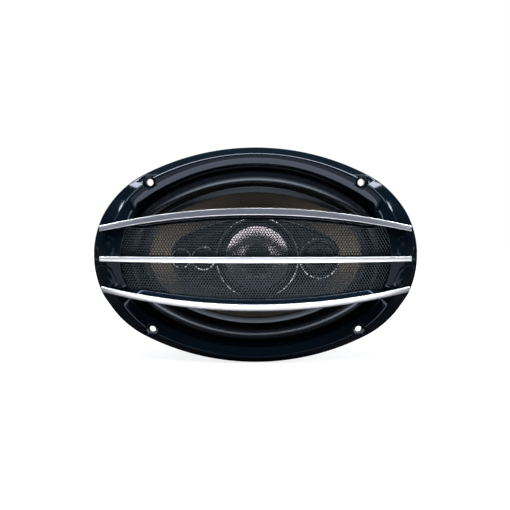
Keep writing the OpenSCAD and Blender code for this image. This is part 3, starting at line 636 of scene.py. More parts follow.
def cheek(name, right, low, high):
    """A pillow over the ring's end, as squarish rings of points that shrink to its middle."""
    rings = []
    for r in CHEEK_RINGS:
        ring = []
        for k in range(72):
            c, s = math.cos(math.radians(5 * k)), math.sin(math.radians(5 * k))
            reach = r * (c ** 4 + s ** 4) ** -0.25 * (1 - CHEEK_CUT * max(0, -2 * c * s))
            y = mix(low, high, (1 + s * reach) / 2)
            inset = mix(CHEEK_OUT, CHEEK_IN, (1 - c * reach) / 2)
            x = end_x(BEZEL, y) - inset
            rise = CHEEK_RISE * (1 - r ** 16) - CHEEK_SINK
            ring.append((right * x, y, end_height(x, y) + rise))
        rings.append(ring)
    return loft(name, rings, navy_gloss, crease=60)


for end, right in (("left", -1), ("right", 1)):
    for level, low, high in (("top", -1.5, 18.6), ("bottom", -22.5, -3.8)):
        dress(cheek(f"cheek_{end}_{level}", right, low, high), "frame", "navy_gloss")

# ---- Silver bars ----
# Three curved strips plated in bright satin silver, pressed on to the rails. Each has a broad
# face that leans with the grille's dome and a bevel along its lower edge.
# How much of the bar's thickness is lost at its outer edge, and the bevel's foot and top as
# shares of the bar's thickness and of its half width
BAR_LEAN = 0.8
BEVEL_FOOT = 0.4
BEVEL_TOP = 0.78


def silver(pen):
    haze = noise(pen, 25, 2)
    return {
        "Base Color": tint(pen, haze, (0.74, 0.75, 0.80), (0.80, 0.80, 0.84)),
        "Metallic": 1.0,
        "Roughness": 0.27 + 0.06 * haze,
    }


silver_plate = coat("silver_plate", silver)


def bar(name, side, half, narrow):
    """A bar as sections along x, whose face leans back away from the middle bar."""
    sections = []
    for k in range(121):
        x = half * (k / 60 - 1)
        w = bar_wide(x) / 2 * narrow
        corners = [(w, 0), (-w, 0), (-w, BEVEL_FOOT * BAR_T), (-BEVEL_TOP * w, BAR_T),
                   (w - 0.4, BAR_T), (w, 0.5 * BAR_T)]
        section = []
        for a, b in rounded(corners, [0.1, 0.1, 0.15, 0.25, 0.25, 0.2]):
            leaned = b * (1 - BAR_LEAN * abs(side) * (w + side * a) / (2 * w))
            section.append((x, bar_y(x, side) + a, bar_z(x) + leaned))
        sections.append(section)
    return loft(name, sections, silver_plate)


for name, side, extra, narrow in (
        ("bar_top", 1, 1.5, 1), ("bar_middle", 0, 2, 0.92), ("bar_bottom", -1, 1.3, 1)):
    dress(bar(name, side, bar_half + extra, narrow), "frame", "silver_plate", f"trim_{name}")

# ---- Perforated mesh ----
# One sheet of punched steel with staggered holes, painted black and domed between the rails,
# which hold its long edges.
PITCH = 2.1
PUNCH_R = 0.84
MESH_T = 0.55
MESH_TUCK = 1.2
mesh_half = span("grille_mesh")[0]


def mesh_high(x):
    """The height of the mesh's long edge, under the outer bars."""
    return bar_y(x, 1) - MESH_TUCK


def mesh_z(x, y):
    """How far forward the mesh lies, domed between the rails."""
    return bar_z(x) - MESH_DEPTH + MESH_BULGE * dome(x) * (1 - (y / mesh_high(x)) ** 2)


def black_steel_paint(pen):
    speck = noise(pen, 1600, 2)
    return {
        "Base Color": tint(pen, speck, (0.0012, 0.0020, 0.0035), (0.0035, 0.0050, 0.0085)),
        "Roughness": 0.16 + 0.08 * speck,
        "Specular IOR Level": 0.5,
        "Specular Tint": (0.66, 0.84, 1.0),
        "Normal": bumps(pen, speck, 0.00001),
    }


mesh_steel = coat("mesh_steel", black_steel_paint)


def punched_sheet():
    """Hexagons round each hole share their corners, so they join into one sheet."""
    corner = PITCH / math.sqrt(3)
    row_step = PITCH * math.sin(math.radians(60))
    points, faces = [], []
    rows = int(bar_y(0, 1) / row_step) + 1
    for row in range(-rows, rows + 1):
        cols = int(mesh_half / PITCH) + 1
        for col in range(-cols, cols + 1):
            cx, cy = (col + (row % 2) / 2) * PITCH, row * row_step
            if abs(cx) > mesh_half or abs(cy) > mesh_high(min(abs(cx), mesh_half)):
                continue
            first = len(points)
            for radius in (corner, PUNCH_R):
                for k in range(6):
                    turn = math.radians(30 + 60 * k)
                    x = max(-mesh_half, min(mesh_half, cx + radius * math.cos(turn)))
                    y = cy + radius * math.sin(turn)
                    y = max(-mesh_high(x), min(mesh_high(x), y))
                    points.append((x, y, mesh_z(x, y)))
            faces += [(first + k, first + (k + 1) % 6, first + 6 + (k + 1) % 6, first + 6 + k)
                      for k in range(6)]
    sheet = solid("perforated_mesh", points, faces, mesh_steel, crease=50)
    made = bmesh.new()
    made.from_mesh(sheet.data)
    bmesh.ops.remove_doubles(made, verts=made.verts, dist=2e-6)
    bmesh.ops.dissolve_degenerate(made, edges=made.edges, dist=1e-6)
    for face in made.faces:
        if face.normal.y > 0:
            face.normal_flip()
    made.to_mesh(sheet.data)
    made.free()
    thick = sheet.modifiers.new("thickness", "SOLIDIFY")
    thick.thickness = MESH_T * MM
    thick.offset = -1
    settle(sheet)
    return sheet


dress(punched_sheet(), "frame", "mesh_steel", "grille_mesh")

# ---- Surround ----
# A half roll of moulded rubber, glued to the basket's landing outside and to the cone's edge
# inside. It rolls as the cone moves.
LANDING = -3.0
ROLL_R = 6.8
ROLL_MID = 10.8
RUBBER = 0.9
RUBBER_OUT = 20.5
RUBBER_IN = -1.2
GLUE_LINE = 0.1


def rubber_black(pen):
    bloom = noise(pen, 300, 3)
    return {
        "Base Color": tint(pen, bloom, (0.0030, 0.0032, 0.0040), (0.0060, 0.0064, 0.0080)),
        "Roughness": 0.21 + 0.09 * bloom,
        "Specular IOR Level": 0.75,
        "Specular Tint": (0.75, 0.86, 1.0),
        "Normal": bumps(pen, noise(pen, 1800, 2), 0.00002),
    }


surround_rubber = coat("surround_rubber", rubber_black)


def stretch(piece, slot, node, moving, start, end, share):
    """Blends a piece from the frame to a moving body by a share of each place, in millimetres."""
    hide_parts(node)
    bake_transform(piece, "frame", moving, start=to_frame(start), end=to_frame(end))
    layer = piece.data.attributes["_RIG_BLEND"]
    for i, vertex in enumerate(piece.data.vertices):
        x, y, z = vertex.co / MM
        layer.data[i].value = share(x, z, -y)


def arc(x, y, radius, angles):
    """Points of a circle at these angles, in degrees."""
    return [(x + radius * math.cos(math.radians(a)), y + radius * math.sin(math.radians(a)))
            for a in angles]


# Its section, as points so far out from the cone's edge and up from the landing: the flat that is
# glued down outside, the roll, and the flat that is glued to the cone
roll_top = [(out, max(RUBBER, up))
            for out, up in arc(ROLL_MID, 0, ROLL_R + RUBBER / 2, range(10, 171, 8))]
upper = rounded([(RUBBER_OUT, RUBBER), (18.4, RUBBER)] + roll_top + [
    (3.2, RUBBER), (RUBBER_IN, RUBBER), (RUBBER_IN, 0)], 0.5, 2, closed=False)
roll_under = arc(ROLL_MID, 0, ROLL_R - RUBBER / 2, range(176, 3, -8))
profile = upper + [(3.4, 0)] + roll_under + [(18.1, 0), (RUBBER_OUT, 0)]
rubber_surround = loft("rubber_surround", [
    [(*oval_at(grow(EDGE, out), turn), LANDING + GLUE_LINE + up) for out, up in profile]
    for turn in ring_turns(180)], surround_rubber, wrap=True)


def edge_distance(x, y):
    """How far a place lies outside the cone's edge, near enough for a share of the roll."""
    wide, high, _ = EDGE
    reach = math.hypot(x / wide, y / high)
    return (reach - 1) * math.hypot(x, y) / max(reach, 1e-6)


stretch(rubber_surround, "surround_rubber", "surround", "woofer",
        (EDGE[0] + ROLL_MID + ROLL_R, 0, 0), (EDGE[0], 0, 0),
        lambda x, y, z: 1 - ease((edge_distance(x, y) - 3.4) / (2 * ROLL_R)))

# ---- Cone ----
# The woofer's cone: pressed fibre in a straw gold, deep in the middle, glued to the surround
# at its edge and to the voice coil's former at its neck.
CONE_DEPTH = 26
NECK_R = 17.4
CONE_T = 0.9
CONE_LAP = 1.2


def waves(pen, way, scale, distortion=0.0):
    """Bands across the piece's own place, in one direction."""
    return pen.node("ShaderNodeTexWave", {"bands_direction": way}, {
        "Vector": pen.node("ShaderNodeTexCoord")["Object"], "Scale": scale,
        "Distortion": distortion})["Fac"]


def threads(pen, scale, distortion):
    """Bands in both directions, as in woven cloth."""
    return (waves(pen, "X", scale, distortion) + waves(pen, "Z", scale, distortion)) * 0.5


def fibre(pen):
    fine = noise(pen, 900, 4)
    weave = threads(pen, 160, 1.5)
    straw = tint(pen, fine * 0.7 + weave * 0.3, (0.275, 0.210, 0.135), (0.475, 0.370, 0.260))
    return {
        "Base Color": tint(pen, noise(pen, 70, 3) * 0.35, straw, (0.235, 0.178, 0.120)),
        "Roughness": 0.55 + 0.20 * fine,
        "Normal": bumps(pen, weave + fine, 0.00006),
    }


cone_fibre = coat("cone_fibre", fibre)


def cone_point(turn, s, z):
    """A place on the cone, from its oval edge at s = 0 to its round neck at s = 1."""
    rim = oval_at(grow(EDGE, CONE_LAP), turn)
    x = mix(rim[0], NECK_R * math.cos(turn), s)
    y = mix(rim[1], NECK_R * math.sin(turn), s)
    return x, y, z - CONE_DEPTH * (0.8 * s + 0.2 * s * s)


cone_sections = [
    [cone_point(turn, k / 16, LANDING) for k in range(17)]
    + [cone_point(turn, k / 16, LANDING - CONE_T) for k in range(16, -1, -1)]
    for turn in ring_turns(180)
]
fibre_cone = loft("fibre_cone", cone_sections, cone_fibre, wrap=True)
dress(fibre_cone, "woofer", "cone_fibre", "cone")

# A lead comes through the cone here, and the hole is sealed with a dab of brown glue
GLUE_R = 2.4


def image_ray(x, y):
    """The direction, in the frame, of the ray through an image point."""
    long_side = max(W, H)
    ray = Vector((
        x - W / 2 + camera.data.shift_x * long_side,
        H / 2 - y + camera.data.shift_y * long_side,
        -long_side * camera.data.lens / camera.data.sensor_width,
    ))
    return (camera.matrix_world.to_3x3() @ ray).normalized()


def place(name, carrier):
    """Where an image point's ray meets the piece that carries a thing, with the normal there."""
    eye, ray = camera.matrix_world.translation, image_ray(*POINTS[name])
    mesh = carrier.data
    tree = BVHTree.FromPolygons([v.co for v in mesh.vertices], [p.vertices for p in mesh.polygons])
    hit = tree.ray_cast(eye, ray)
    if hit[0] is None:
        hit = min((tree.find_nearest(eye + ray * CAMERA_AWAY * s / 50) for s in range(40, 61)),
                  key=lambda near: near[3])
    return hit[0], hit[1]


def brown_glue(pen):
    return {
        "Base Color": tint(pen, noise(pen, 700, 2), (0.20, 0.07, 0.02), (0.34, 0.14, 0.05)),
        "Roughness": 0.30,
    }


def dab(name, at, normal, radius, finish):
    """A low round blob of glue on a surface."""
    rings = [(0.0, 0.42), (0.45, 0.36), (0.8, 0.2), (1.0, -0.12)]
    across = normal.orthogonal().normalized()
    beside = normal.cross(across)
    points, faces = [], []
    for share, up in rings:
        for k in range(24):
            turn = 2 * math.pi * k / 24
            out = radius * share * (1 + 0.12 * math.sin(3 * turn + 1))
            aside = across * math.cos(turn) + beside * math.sin(turn)
            spot = at / MM + aside * out + normal * up
            points.append((spot.x, spot.z, -spot.y))
    for i in range(len(rings) - 1):
        faces += [(i * 24 + k, i * 24 + (k + 1) % 24, i * 24 + 24 + (k + 1) % 24, i * 24 + 24 + k)
                  for k in range(24)]
    faces.append(tuple(range((len(rings) - 1) * 24, len(rings) * 24)))
    return solid(name, points, faces, finish, crease=80)


glue_at, glue_out = place("lead_glue", fibre_cone)
lead_glue = dab("lead_glue", glue_at, glue_out, GLUE_R, coat("brown_glue", brown_glue))
dress(lead_glue, "woofer", "cone_fibre")

# ---- Basket ----
# A pressed steel tub, powder coated black: a flange that the grille snaps over, a wall with the
# landing for the surround, six folded spokes, and the cup that is riveted to the motor.
GASKET_T = 2.0
STEEL_T = 1.5
TUB_IN = 20.8
TUB_OUT = TUB_IN + STEEL_T
LEDGE_R = 45.5
LEDGE_Z = -34
CUP_Z = -46
LANDING_BACK = LANDING - STEEL_T
BAND_Z = LANDING_BACK - 6
FLANGE = grow(BEZEL, -SKIRT - 0.4)
FLANGE_TOP = GASKET_T + STEEL_T
SPOKES = (0, 52, 128, 180, 232, 308)
SPOKE_HALF = 9
SPOKE_FOLD = 2.6
SPOKE_LAP = 0.6


def powder_coat(pen):
    peel = noise(pen, 1100, 2)
    dust = noise(pen, 55, 3)
    return {
        "Base Color": tint(pen, dust, (0.010, 0.010, 0.011), (0.022, 0.022, 0.024)),
        "Roughness": 0.34 + 0.14 * dust,
        "Normal": bumps(pen, peel, 0.00003),
    }


black_steel = coat("black_steel", powder_coat)


def hoop(name, profile, cuts, finish, count=180, steps=3):
    """An oval hoop with one section of (oval, height) corners all the way round."""
    sections = [rounded([(*oval_at(oval, turn), z) for oval, z in profile], cuts, steps)
                for turn in ring_turns(count)]
    return loft(name, sections, finish, wrap=True)


def plate(name, outline, low, high, finish, edge=0.3):
    """A flat plate with a small round on its rims, from an outline that runs anticlockwise."""
    middle = np.mean(np.array(outline), axis=0)
    rows = [(edge, low), (0.3 * edge, low + 0.3 * edge), (0, low + edge), (0, high - edge),
            (0.3 * edge, high - 0.3 * edge), (edge, high)]
    reach = np.abs(np.array(outline) - middle).max(axis=0)
    sections = []
    for inset, z in rows:
        share = 1 - inset / reach
        sections.append([(*(middle + (np.array(p) - middle) * share), z) for p in outline])
    return loft(name, sections, finish)


tub_in, tub_shell, tub_out = (grow(EDGE, out) for out in (TUB_IN, TUB_IN - STEEL_T, TUB_OUT))
basket_rim = hoop("basket_rim", [
    (FLANGE, GASKET_T), (FLANGE, FLANGE_TOP), (tub_in, FLANGE_TOP), (tub_in, LANDING),
    (OPENING, LANDING), (OPENING, LANDING_BACK), (tub_shell, LANDING_BACK), (tub_shell, BAND_Z),
    (tub_in, BAND_Z), (tub_in, LANDING_BACK), (tub_out, LANDING_BACK), (tub_out, GASKET_T),
], [0.4, 0.4, 1.2, 0.4, 0.4, 0.4, 0.3, 0.4, 0.4, 0.3, 0.8, 0.4], black_steel)
carve(basket_rim, cutter(screw_at, HOLE_R, 0, 8))
dress(basket_rim, "frame", "black_steel", "basket")


def spoke_point(turn, s, deep):
    """A place on a spoke, so deep under its outer face, from the band at s = 0 to the cup."""
    rim = oval_at(grow(EDGE, TUB_IN - 0.3 - deep), turn)
    foot_r = LEDGE_R + SPOKE_LAP - deep
    x = mix(rim[0], foot_r * math.cos(turn), s)
    y = mix(rim[1], foot_r * math.sin(turn), s)
    return x, y, mix(BAND_Z - 0.1, LEDGE_Z - SPOKE_LAP, s + 0.5 * s * (1 - s)) + 0.6 * deep


def spoke(name, at):
    """A spoke, with its edges folded outwards to stiffen it."""
    sections = []
    for k in range(25):
        s = k / 24
        fold = SPOKE_FOLD * math.sin(math.pi * s) ** 0.5
        across = [i / 12 for i in range(-12, 13)]
        bend = [-fold * ease((abs(i) - 0.62) / 0.38) for i in across]
        turns = [math.radians(at + SPOKE_HALF * i) for i in across]
        under = [spoke_point(t, s, STEEL_T + b) for t, b in zip(turns, bend)]
        over = [spoke_point(t, s, b) for t, b in zip(turns, bend)]
        sections.append(under + over[::-1])
    return loft(name, sections, black_steel, crease=50)


for i, at in enumerate(SPOKES):
    dress(spoke(f"basket_spoke_{i + 1}", at), "frame", "black_steel")


def lathe(name, x, corners, cuts, finish, steps=96, bend=3):
    """A turned piece round an axis at x, from (radius, height) corners, each rounded by its cut."""
    return drums(name, [(x, 0)], rounded(corners, cuts, bend), finish, steps)


COIL_R = 17.9
basket_cup = lathe("basket_cup", 0, [
    (LEDGE_R, LEDGE_Z), (LEDGE_R, CUP_Z), (COIL_R + 2.5, CUP_Z), (COIL_R + 2.5, CUP_Z + STEEL_T),
    (LEDGE_R - STEEL_T, CUP_Z + STEEL_T), (LEDGE_R - STEEL_T, LEDGE_Z - STEEL_T),
    (LEDGE_R - 6, LEDGE_Z - STEEL_T), (LEDGE_R - 6, LEDGE_Z),
], [1.0, 1.4, 0.3, 0.3, 1.0, 0.6, 0.3, 0.3], black_steel)
dress(basket_cup, "frame", "black_steel")

BOARD_Y = -LEDGE_R - 3
TAB_W = 26
TAB_Z = LEDGE_Z - 4.4
TAB_FOOT = BOARD_Y - 7
TAB_TOP = -42.3
tab_outline = rounded([(-TAB_W / 2, TAB_FOOT), (TAB_W / 2, TAB_FOOT), (TAB_W / 2, TAB_TOP),
                       (-TAB_W / 2, TAB_TOP)], [3, 3, 0.3, 0.3], 5)
dress(plate("basket_tab", tab_outline, TAB_Z, TAB_Z + STEEL_T, black_steel), "frame", "black_steel")

# ---- Mounting gasket ----
# A die-cut ring of closed-cell foam, stuck to the back of the flange. The four screws pass through
# it and squeeze it, which seals the speaker to its panel.


def foam(pen):
    cells = pen.node("ShaderNodeTexVoronoi", {}, {
        "Vector": pen.node("ShaderNodeTexCoord")["Object"], "Scale": 1400})["Distance"]
    return {
        "Base Color": tint(pen, cells, (0.016, 0.016, 0.017), (0.035, 0.035, 0.037)),
        "Roughness": 0.80 + 0.10 * noise(pen, 60, 2),
        "Normal": bumps(pen, cells, 0.00008),
    }


foam_gasket = hoop("foam_gasket", [
    (grow(FLANGE, -1.2), 0), (grow(FLANGE, -1.2), GASKET_T), (grow(EDGE, TUB_OUT + 0.4), GASKET_T),
    (grow(EDGE, TUB_OUT + 0.4), 0)], 0.5, coat("gasket_foam", foam))
carve(foam_gasket, cutter(screw_at, HOLE_R, -1, 4))
dress(foam_gasket, "frame", "gasket_foam", "mounting_gasket")

# ---- Spider ----
# The corrugated cotton disc, dipped in amber resin, that centres the coil. It is glued to the
# basket's ledge and to the former, and its waves stretch as the cone moves.
SPIDER_IN = 17.5
SPIDER_OUT = LEDGE_R - STEEL_T - 0.4
SPIDER_WAVES = 5
SPIDER_T = 0.5
SPIDER_GLUE = 2
WAVY = SPIDER_OUT - SPIDER_IN - 7
SPIDER_BACK = LEDGE_Z + GLUE_LINE


def resin_cloth(pen):
    weave = threads(pen, 330, 0.8)
    return {
        "Base Color": tint(pen, weave, (0.36, 0.21, 0.06), (0.62, 0.42, 0.17)),
        "Roughness": 0.62 + 0.15 * weave,
        "Normal": bumps(pen, weave, 0.00008),
    }


spider_line = [(SPIDER_IN, 0)] + [
    (SPIDER_IN + SPIDER_GLUE + WAVY * k / 80,
     0.6 * (1 - math.cos(2 * math.pi * SPIDER_WAVES * k / 80))) for k in range(81)
] + [(SPIDER_OUT, 0)]
spider_profile = [(r, SPIDER_BACK + up) for r, up in spider_line] + [
    (r, SPIDER_BACK + SPIDER_T + up) for r, up in reversed(spider_line)]
amber_spider = drums(
    "amber_spider", [(0, 0)], spider_profile, coat("spider_cloth", resin_cloth), 120)
stretch(amber_spider, "spider_cloth", "spider", "woofer",
        (SPIDER_OUT, 0, LEDGE_Z), (SPIDER_IN, 0, LEDGE_Z),
        lambda x, y, z: 1 - ease((math.hypot(x, y) - SPIDER_IN - SPIDER_GLUE) / WAVY))

# ---- Voice coil ----
# Copper wire wound on a tube of amber film, which is glued to the cone's neck and hangs in the
# motor's gap. Both are as the CAD has them, and take their finish here.


def amber_film(pen):
    return {
        "Base Color": tint(pen, noise(pen, 200, 2), (0.45, 0.27, 0.08), (0.58, 0.38, 0.14)),
        "Roughness": 0.30,
    }


def enamelled_wire(pen):
    turns = waves(pen, "Y", 620)
    return {
        "Base Color": tint(pen, turns, (0.28, 0.10, 0.03), (0.75, 0.34, 0.15)),
        "Metallic": 0.9,
        "Roughness": 0.28 + 0.12 * turns,
        "Normal": bumps(pen, turns, 0.00006),
    }


def finish_node(material, *nodes):
    """Gives CAD nodes that show as they are their finish."""
    for node in nodes:
        shown = frame["nodes"][node]
        for piece in shown if isinstance(shown, (list, tuple)) else [shown]:
            if piece.data.materials:
                for slot in piece.material_slots:
                    slot.material = material
            else:
                piece.data.materials.append(material)


copper_wire = coat("copper", enamelled_wire)
finish_node(coat("former_film", amber_film), "voice_coil_former")
finish_node(copper_wire, "voice_coil")

# ---- Tinsel leads ----
# Two limp braided copper leads carry the signal from the terminal board, through the open window
# at the bottom, to the back of the cone. They flex as it moves.
LEAD_X = 8
LEAD_R = 0.8
LEAD_ROUTE = [(-57.5, -38.2), (-57.3, -35), (-55, -31), (-50.5, -27.5), (-44, -25), (-38, -25),
              (-33, -24), (-30, -20.5)]


def braid(pen):
    twist = waves(pen, "DIAGONAL", 900)
    return {
        "Base Color": tint(pen, twist, (0.30, 0.15, 0.06), (0.72, 0.46, 0.28)),
        "Metallic": 0.8,
        "Roughness": 0.35 + 0.10 * twist,
        "Normal": bumps(pen, twist, 0.0001),
    }


def cut_corners(route):
    """The route with each corner cut off at a quarter of its sides."""
    made = [np.array(route[0], float)]
    for a, b in zip(route, route[1:]):
        made += [mix(np.array(a, float), np.array(b, float), s) for s in (0.25, 0.75)]
    return made + [np.array(route[-1], float)]


def strand(name, route, radius, finish, sides=12):
    """A round wire along a route of points, its corners cut to a curve."""
    path = cut_corners(cut_corners(cut_corners(route)))
    sections = []
    for i, here in enumerate(path):
        along = path[min(i + 1, len(path) - 1)] - path[max(i - 1, 0)]
        side = np.cross(along, (1, 0.001, 0))
        side /= np.linalg.norm(side)
        up = np.cross(side, along)
        up /= np.linalg.norm(up)
        sections.append([
            tuple(here + radius * (math.cos(turn) * side + math.sin(turn) * up))
            for turn in ring_turns(sides)])
    return loft(name, sections, finish, crease=60)


lead_braid = coat("lead_braid", braid)
for side, name in ((-1, "tinsel_lead_positive"), (1, "tinsel_lead_negative")):
    route = [(side * LEAD_X, y, z) for y, z in LEAD_ROUTE]
    stretch(strand(name, route, LEAD_R, lead_braid), "copper", "tinsel_leads", "woofer",
            route[0], route[-1], lambda x, y, z: ease((y + 57) / 24))

# ---- Motor ----
# Zinc plated steel plates with a ferrite ring glued between them, riveted to the basket's cup. A
# moulded rubber boot is pushed over the ring and the rim of the back plate.
PLATE_R = 45
MAGNET_R = 50
MAGNET_Z = -52
BACK_Z = -69
REAR_Z = -75
POLE_R = 16.5
POLE_TOP = CUP_Z + 0.5
BOOT_T = 3
BOOT_RIM = 9
POST_R = 5


def zinc(pen):
    spangle = pen.node("ShaderNodeTexVoronoi", {}, {
        "Vector": pen.node("ShaderNodeTexCoord")["Object"], "Scale": 260})["Color"]
    tone = pen.node("ShaderNodeSeparateColor", {}, {0: spangle})
    turned = noise(pen, 90, 3)
    return {
        "Base Color": tint(pen, tone * 0.5 + turned * 0.5, (0.42, 0.43, 0.45), (0.66, 0.67, 0.68)),
        "Metallic": 1.0,
        "Roughness": 0.30 + 0.16 * turned,
        "Normal": bumps(pen, noise(pen, 1500, 1), 0.000006),
    }


def sintered(pen):
    grain = noise(pen, 1300, 3)
    return {
        "Base Color": tint(pen, grain, (0.030, 0.030, 0.033), (0.070, 0.070, 0.075)),
        "Roughness": 0.55 + 0.20 * grain,
        "Normal": bumps(pen, grain, 0.00004),
    }


def moulded_rubber(pen):
    dust = noise(pen, 45, 4)
    return {
        "Base Color": tint(pen, dust, (0.012, 0.012, 0.013), (0.030, 0.030, 0.031)),
        "Roughness": 0.52 + 0.18 * dust,
        "Normal": bumps(pen, noise(pen, 1500, 2), 0.00004),
    }


zinc_steel = coat("plated_steel", zinc)
ferrite = coat("ferrite", sintered)
finish_node(zinc_steel, "top_plate", "basket_rivets")
finish_node(ferrite, "magnet")

back_plate = lathe("motor_back_plate", 0, [
    (PLATE_R, BACK_Z), (PLATE_R, REAR_Z), (POST_R + 4.5, REAR_Z), (POST_R + 0.1, REAR_Z),
    (POST_R + 0.1, POLE_TOP), (POLE_R, POLE_TOP), (POLE_R, BACK_Z)],
    [0.6, 1.2, 0.3, 0.3, 0.3, 0.8, 1.0], zinc_steel)
dress(back_plate, "frame", "plated_steel", "back_plate")

BOOT_R = MAGNET_R + BOOT_T
BOOT_REAR = REAR_Z - BOOT_T
rubber_boot = lathe("rubber_boot", 0, [
    (MAGNET_R + 0.3, MAGNET_Z - 0.5), (MAGNET_R + 0.3, BACK_Z - 0.3), (PLATE_R + 0.3, BACK_Z - 0.3),
    (PLATE_R + 0.3, REAR_Z - 0.3), (PLATE_R - BOOT_RIM, REAR_Z - 0.3),
    (PLATE_R - BOOT_RIM, BOOT_REAR), (PLATE_R - 3.2, BOOT_REAR), (PLATE_R - 2.6, BOOT_REAR + 0.7),
    (PLATE_R - 1.2, BOOT_REAR + 0.7), (PLATE_R - 0.6, BOOT_REAR), (BOOT_R, BOOT_REAR),
    (BOOT_R, MAGNET_Z - 8), (BOOT_R - 0.7, MAGNET_Z - 7.3), (BOOT_R - 0.7, MAGNET_Z - 5.7),
    (BOOT_R, MAGNET_Z - 5), (BOOT_R, MAGNET_Z - 0.5)],
    [0.4, 0.3, 0.3, 0.3, 0.2, 1.0, 0.2, 0.3, 0.3, 0.2, 4.5, 0.2, 0.3, 0.3, 0.2, 0.6],
    coat("boot_rubber", moulded_rubber), 144, 5)
dress(rubber_boot, "frame", "boot_rubber", "magnet_boot")

# ---- Centre post ----
# A hollow threaded post clamps the pod through the motor, with a plastic spacer in front and a
# washer and a hexagon nut behind.
NUT_H = 5
NUT_R = 9
WASHER_R = 10
WASHER_T = 1


def satin_black(pen):
    worn = noise(pen, 70, 3)
    return {
        "Base Color": tint(pen, worn, (0.0045, 0.0045, 0.0052), (0.0100, 0.0100, 0.0115)),
        "Roughness": 0.36 + 0.16 * worn,
        "Specular IOR Level": 0.3,
        "Normal": bumps(pen, noise(pen, 1600, 2), 0.00002),
    }


pod_black = coat("pod_black", satin_black)
finish_node(zinc_steel, "centre_post")
finish_node(pod_black, "post_spacer")
washer = lathe("post_washer_ring", 0, [
    (WASHER_R, REAR_Z), (WASHER_R, REAR_Z - WASHER_T), (POST_R + 0.1, REAR_Z - WASHER_T),
    (POST_R + 0.1, REAR_Z)], 0.3, zinc_steel)
dress(washer, "frame", "plated_steel", "post_washer")

NUT_Z = REAR_Z - WASHER_T - NUT_H
hexagon = rounded(arc(0, 0, NUT_R, range(0, 360, 60)), 0.5)
nut_top = REAR_Z - WASHER_T
nut_rows = ((0.93, NUT_Z), (1, NUT_Z + 0.6), (1, nut_top - 0.5), (0.96, nut_top))
hexagon_nut = loft("hexagon_nut", [
    [(x * share, y * share, z) for x, y in hexagon] for share, z in nut_rows], zinc_steel)
carve(hexagon_nut, drums("nut_bore", [(0, 0)], [
    (0, NUT_Z - 1), (POST_R + 0.55, NUT_Z - 1), (POST_R + 0.05, NUT_Z + 0.6),
    (POST_R + 0.05, REAR_Z), (0, REAR_Z)]))
dress(hexagon_nut, "frame", "plated_steel", "post_nut")

# ---- Pod ----
# The satin black plastic box in front of the cone, which carries the four small drivers. Its back
# has the cup for the midrange's magnet, and screws on from behind.
POD_FRONT = 14
POD_REAR = -1
POD_WALL = 1.6
POD = (*span("pod_housing")[:2], 19.0)
RINGS = ("midrange_ring", "tweeter_ring", "inner_piezo_ring", "outer_piezo_ring")
MID_X, TWEETER_X, INNER_X, OUTER_X = (
    (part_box(node)[0].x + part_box(node)[1].x) / 2 / MM for node in RINGS)
MID_R, TWEETER_R, INNER_R, OUTER_R = (span(node)[1] for node in RINGS)
MID_OPEN = MID_R - 3.3
CUP_R = 21
POD_CUP_Z = POD_REAR - 12.5
BOSS_R = POST_R + 3.5


def block(name, rows, finish, count=144):
    """A solid of ovals stacked at (oval, height) rows."""
    sections = [[(*oval_at(oval, turn), z) for turn in ring_turns(count)] for oval, z in rows]
    return loft(name, sections, finish)


pod_shell = block("pod_shell", [
    (POD, POD_REAR), (POD, POD_FRONT - 1.2), (grow(POD, -0.25), POD_FRONT - 0.5),
    (grow(POD, -0.7), POD_FRONT - 0.1), (grow(POD, -1.2), POD_FRONT)], pod_black)
carve(pod_shell, block("pod_room", [(grow(POD, -POD_WALL), POD_REAR - 1),
                                    (grow(POD, -POD_WALL), POD_FRONT - POD_WALL)], None))
for x, radius in ((MID_X, MID_OPEN), (TWEETER_X, TWEETER_R - 4), (INNER_X, INNER_R - 2.5),
                  (OUTER_X, OUTER_R - 2.3)):
    carve(pod_shell, cutter([(x, 0)], radius, 10, 20))
dress(pod_shell, "frame", "pod_black", "pod_housing")

pod_floor = block("pod_floor", [
    (grow(POD, -0.5), POD_REAR - POD_WALL), (POD, POD_REAR - POD_WALL + 0.5),
    (POD, POD_REAR - 0.1)], pod_black)
carve(pod_floor, cutter([(MID_X, 0)], CUP_R - POD_WALL, -8, 4))
dress(pod_floor, "frame", "pod_black", "pod_back")
CUP_INSIDE = POD_CUP_Z + POD_WALL
pod_cup = lathe("pod_cup", MID_X, [
    (CUP_R, POD_REAR - POD_WALL), (CUP_R, POD_CUP_Z), (BOSS_R + 1.5, POD_CUP_Z),
    (BOSS_R + 1.5, CUP_INSIDE), (CUP_R - POD_WALL, CUP_INSIDE),
    (CUP_R - POD_WALL, POD_REAR - POD_WALL)], [0.2, 3.2, 0.3, 0.3, 2.2, 0.2], pod_black, 120, 5)
dress(pod_cup, "frame", "pod_black")
pod_boss = lathe("pod_boss", 0, [
    (BOSS_R, POD_CUP_Z - 6), (BOSS_R, CUP_INSIDE), (3, CUP_INSIDE), (3, POD_CUP_Z),
    (POST_R + 0.1, POD_CUP_Z), (POST_R + 0.1, POD_CUP_Z - 6)],
    [0.5, 0.3, 0.3, 0.3, 0.3, 0.3], pod_black)
dress(pod_boss, "frame", "pod_black")
pod_web = lathe("pod_boss_web", MID_X, [
    (BOSS_R + 2.5, POD_CUP_Z), (BOSS_R + 2.5, CUP_INSIDE), (BOSS_R - 0.4, CUP_INSIDE),
    (BOSS_R - 0.4, POD_CUP_Z)], 0.2, pod_black)
dress(pod_web, "frame", "pod_black")

